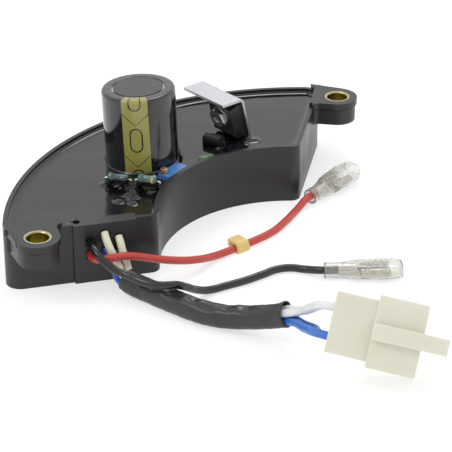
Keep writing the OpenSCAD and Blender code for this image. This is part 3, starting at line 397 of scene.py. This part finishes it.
def depth_inside(x, y):
    """How far points lie inside the case's outline, in millimetres."""
    side = np.abs(x)
    to_arc = ARC_R - np.hypot(x, y - ARC_Y)
    to_notch = np.hypot(x, y - NOTCH_Y) - NOTCH_R
    to_end = END_K - (side * math.sin(SLOPE) - y * math.cos(SLOPE))
    depth = np.minimum(np.minimum(to_arc, to_notch), to_end)
    wall_way = np.array([math.sin(SLOPE), -math.cos(SLOPE)])
    for radius, (cx, cy), far in (
        (CORNER_R, corner(ARC_Y, ARC_R - CORNER_R, END_K - CORNER_R), (0, ARC_Y)),
        (NOSE_R, corner(NOTCH_Y, NOTCH_R + NOSE_R, END_K - NOSE_R), (0, NOTCH_Y)),
    ):
        arc_way = np.array([cx - far[0], cy - far[1]]) * (1 if radius == CORNER_R else -1)
        arc_way /= np.linalg.norm(arc_way)
        dx, dy = side - cx, y - cy
        det = wall_way[0] * arc_way[1] - wall_way[1] * arc_way[0]
        a = (dx * arc_way[1] - dy * arc_way[0]) / det
        b = (wall_way[0] * dy - wall_way[1] * dx) / det
        depth = np.where((a > 0) & (b > 0), radius - np.hypot(dx, dy), depth)
    return depth


print("depth at the middle of the case:", round(float(depth_inside(np.array([0.0]), np.array([20.0]))[0]), 1), "mm")

# %% Epoxy surface
# Humps: x, y, height and radius in millimetres. The first seven cover the humps of the CAD solid.
humps = [(-21.2, 6.5, 0.85, 1.25), (-25.2, 13.3, 0.85, 1.25), (-16.5, -0.6, 0.85, 1.25), (-20.3, 5.8, 0.85, 1.25),
         (-29.8, 2.4, 0.85, 1.25), (-28.2, -1.3, 0.85, 1.25), (26.5, 1.4, 0.85, 1.25),
         (-23.8, 3.6, 1.7, 1.5), (-25.7, 3.3, 1.2, 1.2), (-27.0, 1.1, 1.9, 0.95), (-24.8, 1.0, 1.0, 1.1),
         (-22.7, 6.0, 1.1, 1.3), (-19.6, 0.3, 0.8, 1.1), (-23.4, 8.6, 0.9, 1.2), (15.2, 5.2, 0.9, 1.3),
         (25.2, 2.7, 1.7, 1.2), (23.0, 2.2, 0.8, 1.0), (18.6, 6.4, 0.7, 1.1), (26.3, 4.2, 0.6, 1.1)]


def epoxy_height(x, y):
    """Height of the epoxy's surface in millimetres."""
    z = np.full_like(x, POT_Z + 0.03)
    z += 0.8 * np.exp(-np.clip(depth_inside(x, y) - WALL, 0, None) / 0.65)
    z += 0.05 * np.sin(x / 9.1 + 0.6) * np.sin(y / 6.3 + 1.1) + 0.02 * np.sin(x / 2.7 + y / 3.9)
    for hx, hy, height, radius in humps:
        z = np.maximum(z, POT_Z + height * np.exp(-(((x - hx) ** 2 + (y - hy) ** 2) / radius**2)) + 0.02)
    # The outlet block and the parts draw the liquid up at their feet
    s = (x + HOLE_X) * math.sin(SLOPE) + y * math.cos(SLOPE)
    t = (x + HOLE_X) * math.cos(SLOPE) - y * math.sin(SLOPE)
    off_block = np.hypot(np.clip(np.abs(t - 20.15) - 9.15, 0, None), np.clip(s - 9.9, 0, None))
    z += 0.35 * np.exp(-off_block / 0.6)
    # A crater left by an air bubble behind the block, as in the CAD solid
    z -= 2.4 * np.clip((1.45 - np.hypot(x + 47.2, y - 2.5)) / 0.5, 0, 1) ** 0.7
    return z


STEP = 0.4
grid_x = np.arange(-70, 70 + STEP, STEP)
grid_y = np.arange(-20, 46, STEP)
gx, gy = np.meshgrid(grid_x, grid_y)
gz = epoxy_height(gx, gy)
keep = depth_inside(gx, gy) > 0.3
cells = keep[:-1, :-1] & keep[1:, :-1] & keep[:-1, 1:] & keep[1:, 1:]
used = np.zeros_like(keep)
for dy in (0, 1):
    for dx in (0, 1):
        used[dy : dy + cells.shape[0], dx : dx + cells.shape[1]] |= cells
number = np.cumsum(used.ravel()).reshape(used.shape) - 1
points = np.column_stack([gx[used], gy[used], gz[used]])
faces = [(number[j, i], number[j, i + 1], number[j + 1, i + 1], number[j + 1, i])
         for j, i in zip(*np.nonzero(cells))]
faces = [tuple(int(v) for v in f) for f in faces]

epoxy, tree, shader = new_material("black epoxy, cast and self-levelled", "#0f0e14", 0.06, IOR=1.56,
                                   Specular_IOR_Level=0.5)
place = add(tree, "TexCoord").outputs["Object"]
smudge = add(tree, "TexNoise", {"Vector": place, "Scale": per_mm(11), "Detail": 6.0, "Roughness": 0.65,
                                "Distortion": 1.2})
gloss = add(tree, "MapRange", {"Value": smudge.outputs["Fac"], "From Min": 0.45, "From Max": 0.75,
                               "To Min": 0.05, "To Max": 0.3})
tree.links.new(gloss.outputs["Result"], shader.inputs["Roughness"])
haze = add(tree, "MapRange", {"Value": smudge.outputs["Fac"], "From Min": 0.4, "From Max": 0.68})
film_tone = add(tree, "MixRGB", {"Fac": haze.outputs["Result"], "Color1": linear("#14131a"),
                                 "Color2": linear("#050508")})
dust = add(tree, "TexNoise", {"Vector": place, "Scale": per_mm(0.8), "Detail": 3.0})
specks = add(tree, "MapRange", {"Value": dust.outputs["Fac"], "From Min": 0.68, "From Max": 0.74})
tone = add(tree, "MixRGB", {"Fac": specks.outputs["Result"], "Color1": film_tone.outputs["Color"],
                            "Color2": linear("#3c3c42")})
tree.links.new(tone.outputs["Color"], shader.inputs["Base Color"])
waves = add(tree, "TexNoise", {"Vector": place, "Scale": per_mm(7), "Detail": 2.0})
relief = add(tree, "Bump", {"Height": waves.outputs["Fac"], "Distance": 0.12 * MM, "Strength": 0.35})
tree.links.new(relief.outputs["Normal"], shader.inputs["Normal"])

new_piece("epoxy_surface", points, faces, epoxy)
finish_node("potting", epoxy)
print("epoxy surface:", len(points), "points")


# %% [markdown]
# ## Bushes
# The ears carry steel bushes, so that the bolts clamp on metal and not on plastic. They are turned
# and plated with yellow-passivated zinc, which gives a gold tone that drifts to olive. A fine relief
# stands for the marks of the tool.

# %% Bush material
bush_steel, tree, shader = new_material("steel, turned and yellow zinc plated", "#b49a5c", 0.3, 1.0)
mix, relief = vary(tree, shader, ("#a89c40", "#94893a"), (0.24, 0.4), 3.0, 0.5, 0.01, 0.4)
# The flat top, which faces up, is drawn paler than the sides
upward = add(tree, "SeparateXYZ", {"Vector": add(tree, "NewGeometry").outputs["Normal"]}).outputs["Z"]
paler_on_top = add(tree, "MapRange", {"Value": upward, "From Min": 0.6, "From Max": 0.9})
tone = add(tree, "MixRGB", {"Fac": paler_on_top.outputs["Result"], "Color1": mix.outputs["Color"], "Color2": linear("#b8b2a0")})
tree.links.new(tone.outputs["Color"], shader.inputs["Base Color"])
for node in ("bush_left", "bush_right"):
    finish_node(node, bush_steel)
print("bushes:", bush_steel.name)


# %% [markdown]
# ## Capacitor
# The smoothing capacitor is an aluminium can in a black shrink sleeve of polyester film. The sleeve
# shrinks tight over the shoulder and leaves a rim round a plastic disc. A stripe of dull gold ink
# marks the negative side with arrowheads and minus-like pills, which is a generic pattern. The
# sleeve is revolved from its profile, and its texture map holds millimetres along the girth and up
# the side, so that the print can be drawn to size.

# %% Capacitor sleeve
CAP_AT, CAP_R = (-5.598, 17.427), 11.0
LEAN = Matrix.Rotation(math.radians(-0.5), 3, "Y") @ Matrix.Rotation(math.radians(-2.66), 3, "X")
STRIPE_TURN = math.radians(-141.3)


def on_capacitor(radius, turn, height):
    """A point of the capacitor, in millimetres, from its radius, turn and height over the epoxy."""
    p = LEAN @ Vector((radius * math.cos(turn), radius * math.sin(turn), height))
    return (p.x + CAP_AT[0], p.y + CAP_AT[1], p.z + POT_Z)


shoulder = [(10.15 + 0.85 * math.cos(a), 22.55 + 0.85 * math.sin(a)) for a in np.linspace(0.15, 1.5, 7)]
profile = [(9.4, -6.6), (10.7, -6.5), (11, -6.0), (11, 0), (11, 6), (11, 12), (11, 18), (11, 22.2)]
profile += shoulder + [(9.2, 23.4), (8.6, 23.38), (8.1, 23.4), (7.85, 23.36), (7.78, 23.22), (7.8, 23.1)]
SIDES = 128
rings, maps = [], []
walked = [0.0]
for (r0, z0), (r1, z1) in zip(profile, profile[1:]):
    walked.append(walked[-1] + math.hypot(r1 - r0, z1 - z0))
zero = walked[3]
for (radius, height), along in zip(profile, walked):
    ring = []
    for k in range(SIDES + 1):
        turn = STRIPE_TURN - math.pi + 2 * math.pi * k / SIDES
        # The film puckers a little where it shrinks over the shoulder
        pucker = 0.03 * math.sin(23 * turn) * math.sin(7 * turn) if height > 22 else 0.0
        wave = 0.05 * math.sin(5 * turn + 1) if radius < 8.2 and height > 20 else 0.0
        ring.append(on_capacitor(radius + wave - abs(pucker), turn, height + min(pucker, 0)))
        maps.append(((turn - STRIPE_TURN) * CAP_R, along - zero))
    rings.append(ring)
points, faces = loft(rings, closed=False)
print("sleeve rings:", len(rings))

# %% Printed shrink film
film, tree, shader = new_material("black polyester film, shrunk and printed", "#121214", 0.14, IOR=1.57,
                                  Coat_Weight=0.4, Coat_Roughness=0.08)
uv = add(tree, "SeparateXYZ", {"Vector": add(tree, "UVMap", uv_map="length_mm").outputs["UV"]})
across = add(tree, "Math", {0: uv.outputs["X"]}, operation="ABSOLUTE").outputs[0]
PERIOD, HALF, APEX, RISE = 13.15, 4.0, 15.53, 3.5
inside = add(tree, "Math", {0: across, 1: HALF}, operation="LESS_THAN").outputs[0]
# Arrowheads: height above the line from the apex to the stripe's edges, repeated every period
line = add(tree, "Math", {0: across, 1: RISE / HALF, 2: APEX + 0.5 * PERIOD}, operation="MULTIPLY_ADD").outputs[0]
above = add(tree, "Math", {0: uv.outputs["Y"], 1: line}, operation="SUBTRACT").outputs[0]
folded = add(tree, "Math", {0: above, 1: PERIOD}, operation="FLOORED_MODULO").outputs[0]
arrow = add(tree, "Math", {0: folded, 1: 0.5 * PERIOD, 2: 0.13}, operation="COMPARE").outputs[0]
# Pills: distance to an upright segment, compared with the pill's radius
PILL_MID, PILL_HALF, PILL_R = 10.83, 1.89, 1.75
lift = add(tree, "Math", {0: uv.outputs["Y"], 1: PILL_MID - 0.5 * PERIOD}, operation="SUBTRACT").outputs[0]
turned = add(tree, "Math", {0: lift, 1: PERIOD}, operation="FLOORED_MODULO").outputs[0]
middle = add(tree, "Math", {0: turned, 1: 0.5 * PERIOD}, operation="SUBTRACT").outputs[0]
tall = add(tree, "Math", {0: middle}, operation="ABSOLUTE").outputs[0]
beyond = add(tree, "Math", {0: tall, 1: PILL_HALF}, operation="SUBTRACT").outputs[0]
beyond = add(tree, "Math", {0: beyond, 1: 0.0}, operation="MAXIMUM").outputs[0]
flat = add(tree, "CombineXYZ", {"X": across, "Y": beyond})
reach = add(tree, "VectorMath", {0: flat.outputs[0]}, operation="LENGTH").outputs["Value"]
pill = add(tree, "Math", {0: reach, 1: PILL_R, 2: 0.2}, operation="COMPARE").outputs[0]
drawn = add(tree, "Math", {0: arrow, 1: pill}, operation="MAXIMUM").outputs[0]
bare = add(tree, "Math", {0: 1.0, 1: drawn}, operation="SUBTRACT").outputs[0]
gold = add(tree, "Math", {0: inside, 1: bare}, operation="MULTIPLY").outputs[0]
ink = add(tree, "MixRGB", {"Fac": gold, "Color1": linear("#111113"), "Color2": linear("#8f8a45")})
tree.links.new(ink.outputs["Color"], shader.inputs["Base Color"])
matt = add(tree, "MapRange", {"Value": gold, "To Min": 0.12, "To Max": 0.34})
tree.links.new(matt.outputs["Result"], shader.inputs["Roughness"])
ripple = add(tree, "TexNoise", {"Vector": add(tree, "TexCoord").outputs["Object"], "Scale": per_mm(4.5), "Detail": 2.0})
relief = add(tree, "Bump", {"Height": ripple.outputs["Fac"], "Distance": 0.08 * MM, "Strength": 0.4})
tree.links.new(relief.outputs["Normal"], shader.inputs["Normal"])
cap_skin = new_piece("capacitor_shrink_sleeve", points, faces, film, maps)
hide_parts("capacitor_sleeve")
can, tree, shader = new_material("aluminium can, deep drawn", "#c9ccd1", 0.3, 1.0)
vary(tree, shader, ("#c9ccd1", "#b5b8bd"), (0.25, 0.4), 4.0, 0.5, 0.01)
finish_node("capacitor_can", can)
disc, tree, shader = new_material("black phenolic disc, punched", "#1a1a1c", 0.2, IOR=1.55)
vary(tree, shader, ("#18181a", "#232326"), (0.15, 0.26), 5.0, 1.5, 0.02, 0.3)
finish_node("capacitor_top_disc", disc)

# %% Epoxy creep round the capacitor
FRONT = math.radians(-134.35)
# Each ring of the creep: how far out it lies, and its share of the height
creep_section = ((-0.05, 1.0), (0.12, 0.96), (0.3, 0.6), (0.55, 0.3), (0.85, 0.12), (1.25, 0.0))
CREEP_SIDES = 120
rings = [[] for _ in creep_section]
for k in range(CREEP_SIDES):
    turn = 2 * math.pi * k / CREEP_SIDES
    off = abs((turn - FRONT + math.pi) % (2 * math.pi) - math.pi)
    rise = 0.5 + 3.2 * min(max((off - 1.0) / 0.9, 0), 1) ** 1.5 * (1 + 0.06 * math.sin(9 * turn))
    for ring, (out, up_share) in zip(rings, creep_section):
        ring.append(on_capacitor(CAP_R + out * (0.5 + 0.16 * rise), turn, rise * up_share - 0.02))
points, faces = loft(rings[::-1])
creep = new_piece("epoxy_creep_capacitor", points, faces, epoxy)
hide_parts("capacitor_bead")
print("capacitor stripe", 2 * HALF, "mm wide, one arrowhead every", PERIOD, "mm")


# %% [markdown]
# ## Heat sink and power device
# A strip of aluminium sheet, bent over at the top, cools the power device. Mill finish shows fine
# rolling lines along the sheet and a dull grey shine. The device is black moulding compound, with a
# zinc plated screw, washer and nut.

# %% Heat sink and power device
sheet, tree, shader = new_material("aluminium sheet, mill finish", "#c4c6ca", 0.38, 1.0)
place = add(tree, "Mapping", {"Vector": add(tree, "TexCoord").outputs["Object"],
                              "Rotation": (0, 0, math.radians(7)), "Scale": (1, 0.08, 1)})
vary(tree, shader, ("#c9cbcf", "#b4b6bb"), (0.32, 0.46), 1.2, 0.5, 0.01, 0.4, place.outputs[0])
finish_node("heat_sink", sheet)
compound, tree, shader = new_material("black epoxy compound, transfer moulded", "#18181a", 0.32, IOR=1.55)
vary(tree, shader, ("#161618", "#222224"), (0.26, 0.4), 3.0, 0.5, 0.02, 0.5)
finish_node("power_transistor", compound)
finish_node("rectifier_diode", compound)
zinc, tree, shader = new_material("steel, cold formed and zinc plated", "#b9bab6", 0.26, 1.0)
vary(tree, shader, ("#bfc0bc", "#989a94"), (0.2, 0.36), 1.5, 0.5, 0.01, 0.5)
for node in ("clamp_screw", "clamp_washer", "clamp_nut"):
    finish_node(node, zinc)
green, tree, shader = new_material("green epoxy powder, dipped", "#5f7f4a", 0.25, IOR=1.55)
vary(tree, shader, ("#5f7f4a", "#3f5f3a"), (0.18, 0.3), 2.0, 1.2, 0.05)
finish_node("film_capacitor", green)
board, tree, shader = new_material("glass epoxy board, solder mask", "#2f6b3c", 0.4, IOR=1.55)
vary(tree, shader, ("#2f6b3c", "#265832"), (0.34, 0.46), 4.0, 0.7, 0.02)
finish_node("circuit_board", board)
print("heat sink and power device done")


# %% [markdown]
# ## Resistors
# Two film resistors lie over the epoxy. Their bodies are lacquered ceramic tubes with end caps, which
# bulge under the lacquer, and rings of paint give the value. A body is a revolved profile, with its
# map along the axis, so that the rings are one pattern. The wire ends are tinned copper.


# %% Resistor finish
def lacquer(name, colour, deeper, bands):
    """Resistor lacquer with painted rings: bands are (middle, half width, colour) in millimetres."""
    material, tree, shader = new_material(name, colour, 0.14, IOR=1.54, Coat_Weight=0.5, Coat_Roughness=0.06)
    mix, relief = vary(tree, shader, (colour, deeper), (0.08, 0.16), 1.1, 1.3, 0.3, 0.7)
    along = add(tree, "SeparateXYZ", {"Vector": add(tree, "UVMap", uv_map="length_mm").outputs["UV"]}).outputs["Y"]
    paint = mix.outputs["Color"]
    for middle, half, shade in bands:
        ring = add(tree, "Math", {0: along, 1: middle, 2: half}, operation="COMPARE")
        paint = add(tree, "MixRGB", {"Fac": ring.outputs[0], "Color1": paint, "Color2": linear(shade)}).outputs["Color"]
    # Painted sheen: the lacquer is drawn paler where it faces up, broken up by noise
    place = add(tree, "TexCoord").outputs["Object"]
    upward = add(tree, "SeparateXYZ", {"Vector": add(tree, "NewGeometry").outputs["Normal"]}).outputs["Z"]
    sheen_noise = add(tree, "TexNoise", {"Vector": place, "Scale": per_mm(1.0), "Detail": 4.0})
    both = add(tree, "Math", {0: upward, 1: sheen_noise.outputs["Fac"]}, operation="MULTIPLY").outputs[0]
    painted_top_sheen = add(tree, "MapRange", {"Value": both, "From Min": 0.38, "From Max": 0.52})
    paint = add(tree, "MixRGB", {"Fac": painted_top_sheen.outputs["Result"], "Color1": paint,
                                 "Color2": linear("#6f8a85")}).outputs["Color"]
    # The lower half is wet with epoxy, up to an uneven line about 7.6 mm above the origin
    wander = add(tree, "TexNoise", {"Vector": place, "Scale": per_mm(1.6), "Detail": 3.0})
    height = add(tree, "SeparateXYZ", {"Vector": place}).outputs["Z"]
    level = add(tree, "Math", {0: wander.outputs["Fac"], 1: -3.2 * MM, 2: height}, operation="MULTIPLY_ADD").outputs[0]
    dipped = add(tree, "MapRange", {"Value": level, "From Min": 6.1 * MM, "From Max": 5.95 * MM})
    paint = add(tree, "MixRGB", {"Fac": dipped.outputs["Result"], "Color1": paint,
                                 "Color2": linear("#0c0c10")}).outputs["Color"]
    tree.links.new(paint, shader.inputs["Base Color"])
    return material


tinned_wire, tree, shader = new_material("copper wire, tinned", "#d2d2cc", 0.22, 1.0)
vary(tree, shader, ("#d6d6d0", "#b8b8b2"), (0.18, 0.3), 1.5, 0.5, 0.01)
lacquers = {
    "resistor_left": lacquer("teal lacquer, dipped, with dark rings", "#0c4044", "#154f4f",
                             [(-1.1, 0.3, "#123238"), (0.2, 0.3, "#3d2a20")]),
    "resistor_right": lacquer("teal lacquer, dipped, with gold ring", "#11443d", "#205850",
                              [(-0.9, 0.3, "#3d2a20"), (1.6, 0.38, "#b09a3c")]),
}
print([m.name for m in lacquers.values()])

# %% Resistor bodies and wires
RESISTOR_TURN, RESISTOR_Z, RESISTOR_SIDES = math.radians(-59.3), POT_Z + 2.4, 32
WIRE_D, WIRE_IN, WIRE_OUT = 0.7, 0.3, 0.8  # diameter, and reach into and out of the body
resistors = {"resistor_left": ((-23.2, 9.9), 6.3, 3.4), "resistor_right": ((-18.4, 2.6), 5.8, 4.0)}
for node, ((mx, my), length, d) in resistors.items():
    way = Vector((math.cos(RESISTOR_TURN), math.sin(RESISTOR_TURN), 0))
    side_way, up = Vector((-way.y, way.x, 0)), Vector((0, 0, 1))
    # Half of the outline, as shares of the length and of the diameter, then its mirror image
    shape = [(-0.5, 0.16), (-0.49, 0.3), (-0.45, 0.42), (-0.38, 0.49), (-0.31, 0.495), (-0.26, 0.45),
             (-0.22, 0.42), (-0.1, 0.4), (0, 0.4)]
    shape += [(-a, b) for a, b in shape[-2::-1]]
    middle = Vector((mx, my, RESISTOR_Z))
    rings, maps = [], []
    for a, b in shape:
        ring = []
        for k in range(RESISTOR_SIDES + 1):
            turn = 2 * math.pi * k / RESISTOR_SIDES
            spoke = side_way * math.cos(turn) + up * math.sin(turn)
            ring.append(tuple(middle + way * (a * length) + spoke * (b * d)))
            maps.append((turn * d / 2, a * length))
        rings.append(ring)
    points, faces = loft(rings, closed=False)
    body = new_piece(node + "_body", points, faces, lacquers[node], maps)
    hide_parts(node)
    for end in (-1, 1):
        start = middle + way * end * (length / 2 - WIRE_IN)
        bend = middle + way * end * (length / 2 + WIRE_OUT)
        path = [start, start + (bend - start) * 0.55, bend - way * end * 0.12 - up * 0.12, bend - up * 0.6,
                Vector((bend.x, bend.y, POT_Z - 0.5))]
        wire = sweep(f"{node}_wire_{'near' if end > 0 else 'far'}", path, WIRE_D, tinned_wire)
print("resistors:", list(resistors))


# %% [markdown]
# ## Trimmer
# The blue trimmer sets the output voltage. Its case is a moulded thermoset with crisp edges, and its
# brass screw turns without end. The screw is a body of its own, so it keeps its CAD solid.

# %% Trimmer
trimmer_blue, tree, shader = new_material("blue thermoset, moulded", "#4a7fc0", 0.3, IOR=1.55)
vary(tree, shader, ("#4b80c2", "#3a6cae"), (0.24, 0.38), 2.5, 0.6, 0.02)
finish_node("trimmer_body", trimmer_blue)
brass, tree, shader = new_material("brass, turned and slotted", "#d8bd90", 0.4, 1.0)
vary(tree, shader, ("#dcc296", "#c0a274"), (0.34, 0.48), 1.2, 0.4, 0.01)
finish_node("trimmer_screw", brass)
print("trimmer:", trimmer_blue.name)


# %% [markdown]
# ## Harness sleeve
# Four leads run through a length of black shrink tube. It was shrunk only lightly, so it is creased
# and dented where the bundle bends, and open at both ends. It is a tube along the route whose
# radius is pressed in between the leads and wrinkled by a few smooth waves, with a real wall.

# %% Harness sleeve
sleeve_route = [(-45.3, -15.5, -7.7), (-45.1, -18.8, -8.5), (-44.4, -24, -8.85), (-44, -32, -8.85), (-43, -41.5, -8.85),
                (-41.3, -48.2, -8.5), (-39, -54, -7.6), (-37.2, -60.5, -5.7), (-35.4, -67, -3.4)]


def smooth_route(points, steps):
    """Points on a smooth curve through a route, by Catmull and Rom's formula."""
    p = [np.array(q, float) for q in points]
    p = [2 * p[0] - p[1]] + p + [2 * p[-1] - p[-2]]
    out = []
    for a, b, c, d in zip(p, p[1:], p[2:], p[3:]):
        for t in np.linspace(0, 1, steps, endpoint=False):
            out.append(0.5 * (2 * b + (c - a) * t + (2 * a - 5 * b + 4 * c - d) * t**2
                              + (3 * b - a - 3 * c + d) * t**3))
    return out + [p[-2]]


# Dents: distance along the sleeve, angle round it, depth, and how far they spread along and round
dents = [(10.2, 78, 1.2, 1.9, 26), (14.2, 108, 0.7, 1.2, 20), (18.3, 72, 1.3, 2.3, 27), (24.0, 95, 0.9, 1.7, 24),
         (29.5, 60, 0.5, 2.4, 24), (35.0, 95, 0.55, 2.2, 30), (41.5, 80, 0.5, 2.6, 32), (5.5, 30, 0.5, 1.8, 28)]
TUBE_R, TUBE_MOST, TUBE_WALL, TUBE_LENGTH, TUBE_SIDES = 3.3, 3.42, 0.35, 53.6, 48
line = smooth_route(sleeve_route, 14)
rings, inner_rings, along = [], [], 0.0
for i, at in enumerate(line):
    if i:
        along += float(np.linalg.norm(at - line[i - 1]))
    way = line[min(i + 1, len(line) - 1)] - line[max(i - 1, 0)]
    way /= np.linalg.norm(way)
    side_way = np.cross(way, (0, 0, 1))
    side_way /= np.linalg.norm(side_way)
    up = np.cross(side_way, way)
    ring, inner = [], []
    for k in range(TUBE_SIDES):
        angle = 360 * k / TUBE_SIDES
        radius = TUBE_R - 0.1 * math.cos(math.radians(4 * angle))
        for s0, a0, depth, spread, wide in dents:
            turn = (angle - a0 + 180) % 360 - 180
            radius -= depth * math.exp(-((along - s0) / spread) ** 2 - (turn / wide) ** 2)
            radius += 0.35 * depth * math.exp(-((along - s0 - 1.6 * spread) / (0.6 * spread)) ** 2 - (turn / wide) ** 2)
        radius += 0.05 * math.sin(1.9 * along + math.radians(2 * angle)) * math.sin(0.7 * along)
        # The film lies on the bundle of four leads where it is pressed in, and flares at its mouth
        lean = math.radians((angle + 45) % 90 - 45)
        bundle = min(2.38 / math.cos(lean), 2.9) + 0.1
        radius = max(min(radius, TUBE_MOST), bundle)
        radius += 0.8 * math.exp(-((TUBE_LENGTH - along) / 2.2) ** 2) * max(math.cos(math.radians(angle - 75)), 0)
        out = side_way * math.cos(math.radians(angle)) + up * math.sin(math.radians(angle))
        ring.append(tuple(at + out * radius))
        inner.append(tuple(at + out * (radius - TUBE_WALL)))
    rings.append(ring)
    inner_rings.append(inner)
points, faces = loft(rings + inner_rings[::-1] + [rings[0]])
shrink, tree, shader = new_material("black polyolefin tube, shrunk", "#262628", 0.34, IOR=1.5)
vary(tree, shader, ("#242426", "#303032"), (0.27, 0.42), 5.0, 0.9, 0.03, 0.5)
harness = new_piece("harness_shrink_tube", points, faces, shrink)
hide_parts("harness_sleeve")
print("sleeve length", round(along, 1), "mm")


# %% [markdown]
# ## Terminals and covers
# Each power lead ends in a tinned brass spade receptacle. A dip-moulded cover of clear soft PVC hides
# it: thin, cloudy and slightly lumpy, so the metal only glints through. The cover is a loft of oval
# sections with a real wall, because light has to enter and leave it on both sides.

# %% Terminals
tinned_brass, tree, shader = new_material("brass strip, stamped and tinned", "#d6d3c8", 0.24, 1.0)
vary(tree, shader, ("#dedbd2", "#b3ad98"), (0.18, 0.34), 2.0, 0.6, 0.02)
for node in ("terminal_red", "terminal_black", "plug_contacts"):
    finish_node(node, tinned_brass)
clear, tree, shader = new_material("clear soft PVC, dip moulded", "#f8f8f5", 0.25, IOR=1.4, Transmission_Weight=0.88)
place = add(tree, "TexCoord").outputs["Object"]
lumps = add(tree, "TexNoise", {"Vector": place, "Scale": per_mm(2.2), "Detail": 3.0})
relief = add(tree, "Bump", {"Height": lumps.outputs["Fac"], "Distance": 0.04 * MM, "Strength": 0.3})
tree.links.new(relief.outputs["Normal"], shader.inputs["Normal"])
cloud = add(tree, "MapRange", {"Value": lumps.outputs["Fac"], "From Min": 0.35, "From Max": 0.7,
                               "To Min": 0.12, "To Max": 0.3})
tree.links.new(cloud.outputs["Result"], shader.inputs["Roughness"])
print("terminals:", tinned_brass.name)

# %% Clear covers
COVER_Z = BASE_Z + 2.3
# Place of the mouth, turn, how far the cover has slid along the terminal, and how far its tip is raised
covers = {"terminal_cover_red": ((29.5, -17.6), 5, 1.6, 1.0), "terminal_cover_black": ((-1, -50.6), -44, 0.0, 0.0)}
# Sections: distance from the mouth, width and height
sections = [(0, 4.6, 4.5), (0.6, 4.5, 4.4), (3, 4.4, 4.3), (5, 5.0, 4.4), (7.5, 6.6, 4.3), (10, 8.2, 4.4),
            (13, 8.7, 4.2), (16, 9.0, 4.3), (19, 9.35, 4.2), (20.4, 9.0, 4.1), (21.5, 7.8, 3.9), (22.35, 6.6, 3.7)]
COVER_WALL, COVER_SIDES, COVER_LENGTH = 0.45, 40, 22
for node, ((cx, cy), turn, slid, raised) in covers.items():
    way = Vector((math.cos(math.radians(turn)), math.sin(math.radians(turn)), 0))
    side_way, up = Vector((-way.y, way.x, 0)), Vector((0, 0, 1))
    outer, inner = [], []
    for s, (x, w, h) in enumerate(sections):
        for rings_out, trim in ((outer, 0.0), (inner, COVER_WALL)):
            ring = []
            for k in range(COVER_SIDES):
                a = 2 * math.pi * k / COVER_SIDES
                lump = 1 - 0.02 * (1 + math.sin(3 * a + 1.7 * s))
                c, v = math.cos(a), math.sin(a)
                px = (w / 2 - trim) * math.copysign(abs(c) ** 0.8, c) * lump
                pz = (h / 2 - trim) * math.copysign(abs(v) ** 0.8, v) * lump
                rise = pz + raised * (x / COVER_LENGTH) ** 2
                ring.append(tuple(Vector((cx, cy, COVER_Z)) + way * (x + slid) + side_way * px + up * rise))
            rings_out.append(ring)
    points, faces = loft(outer + inner[::-1] + [outer[0]])
    cover = new_piece("clear_" + node, points, faces, clear)
    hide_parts(node)
print("covers:", list(covers))


# %% [markdown]
# ## Plug and clip
# The plug is moulded in natural nylon, which is milky and lets light in a little below its surface.
# Subsurface scattering over about 1.5 mm gives that soft, warm white. The clip on
# the red lead is a cut piece of cream plastic profile.

# %% Plug and clip
nylon, tree, shader = new_material("natural nylon, moulded", "#d9d9cc", 0.36, IOR=1.53,
                                   Subsurface_Weight=0.35, Subsurface_Scale=0.0015)
shader.inputs["Subsurface Radius"].default_value = (1.0, 0.9, 0.65)
vary(tree, shader, ("#dcdcd2", "#cdc9b2"), (0.3, 0.44), 9.0, 1.2, 0.03, 0.4)
finish_node("plug_housing", nylon, 0.28, 3)
cream, tree, shader = new_material("cream vinyl, extruded and cut", "#e0c47a", 0.45, IOR=1.52)
vary(tree, shader, ("#e3c980", "#cfae63"), (0.4, 0.55), 2.0, 0.7, 0.04)
finish_node("lead_clip", cream)
print("plug and clip done")

# %% [markdown]
# ## Lengths of the leads
# The length of each lead's curve is worked out once more.

for node, piece in leads.items():
    curve_length(piece)
print("declared", len(leads), "leads")

# %% [markdown]
# ## Floor and light
# The part lies on a lit white table under a large white tent, which gives the even grey sheen on all
# the black parts. The table is an opal sheet lit from below, as in catalogue pictures, so that shadows
# almost vanish. A soft box at the upper left brightens the edges, and one behind on the right draws the
# bright line along the epoxy's rim and the glints on its lumps.

# %% Floor
FLOOR_Z = BASE_Z
bpy.ops.mesh.primitive_plane_add(size=8, location=(0, 0, (FLOOR_Z - 0.02) * MM))
floor = bpy.context.object
floor.name = "studio_floor"
opal, tree, shader = new_material("opal acrylic sheet, matt and lit from below", "#b4b4b3", 0.8, Emission_Strength=0.6)
shader.inputs["Emission Color"].default_value = linear("#ffffff")
vary(tree, shader, ("#b5b5b4", "#b1b1b0"), (0.75, 0.85), 60.0, 1.5, 0.01, 0.1)
floor.data.materials.append(opal)
print("floor at", FLOOR_Z, "mm")

# %% Light
world = bpy.data.worlds.new("white tent")
world.use_nodes = True
world.node_tree.nodes["Background"].inputs["Color"].default_value = (1.0, 1.0, 1.0, 1.0)
world.node_tree.nodes["Background"].inputs["Strength"].default_value = 1.0
scene.world = world


def soft_lamp(name, place, aim, size, watts):
    """A square soft box, given in metres, that looks at a point."""
    data = bpy.data.lights.new(name, "AREA")
    data.size = size
    data.energy = watts
    lamp = bpy.data.objects.new(name, data)
    lamp.location = place
    lamp.rotation_euler = (Vector(aim) - Vector(place)).to_track_quat("-Z", "Y").to_euler()
    scene.collection.objects.link(lamp)
    return lamp


soft_lamp("key_soft_box", (-0.55, 0.25, 0.75), (0, 0, 0), 0.25, 1.4)
soft_lamp("back_soft_box", (0.47, 0.33, 0.69), (0, 0, 0), 0.25, 1.2)
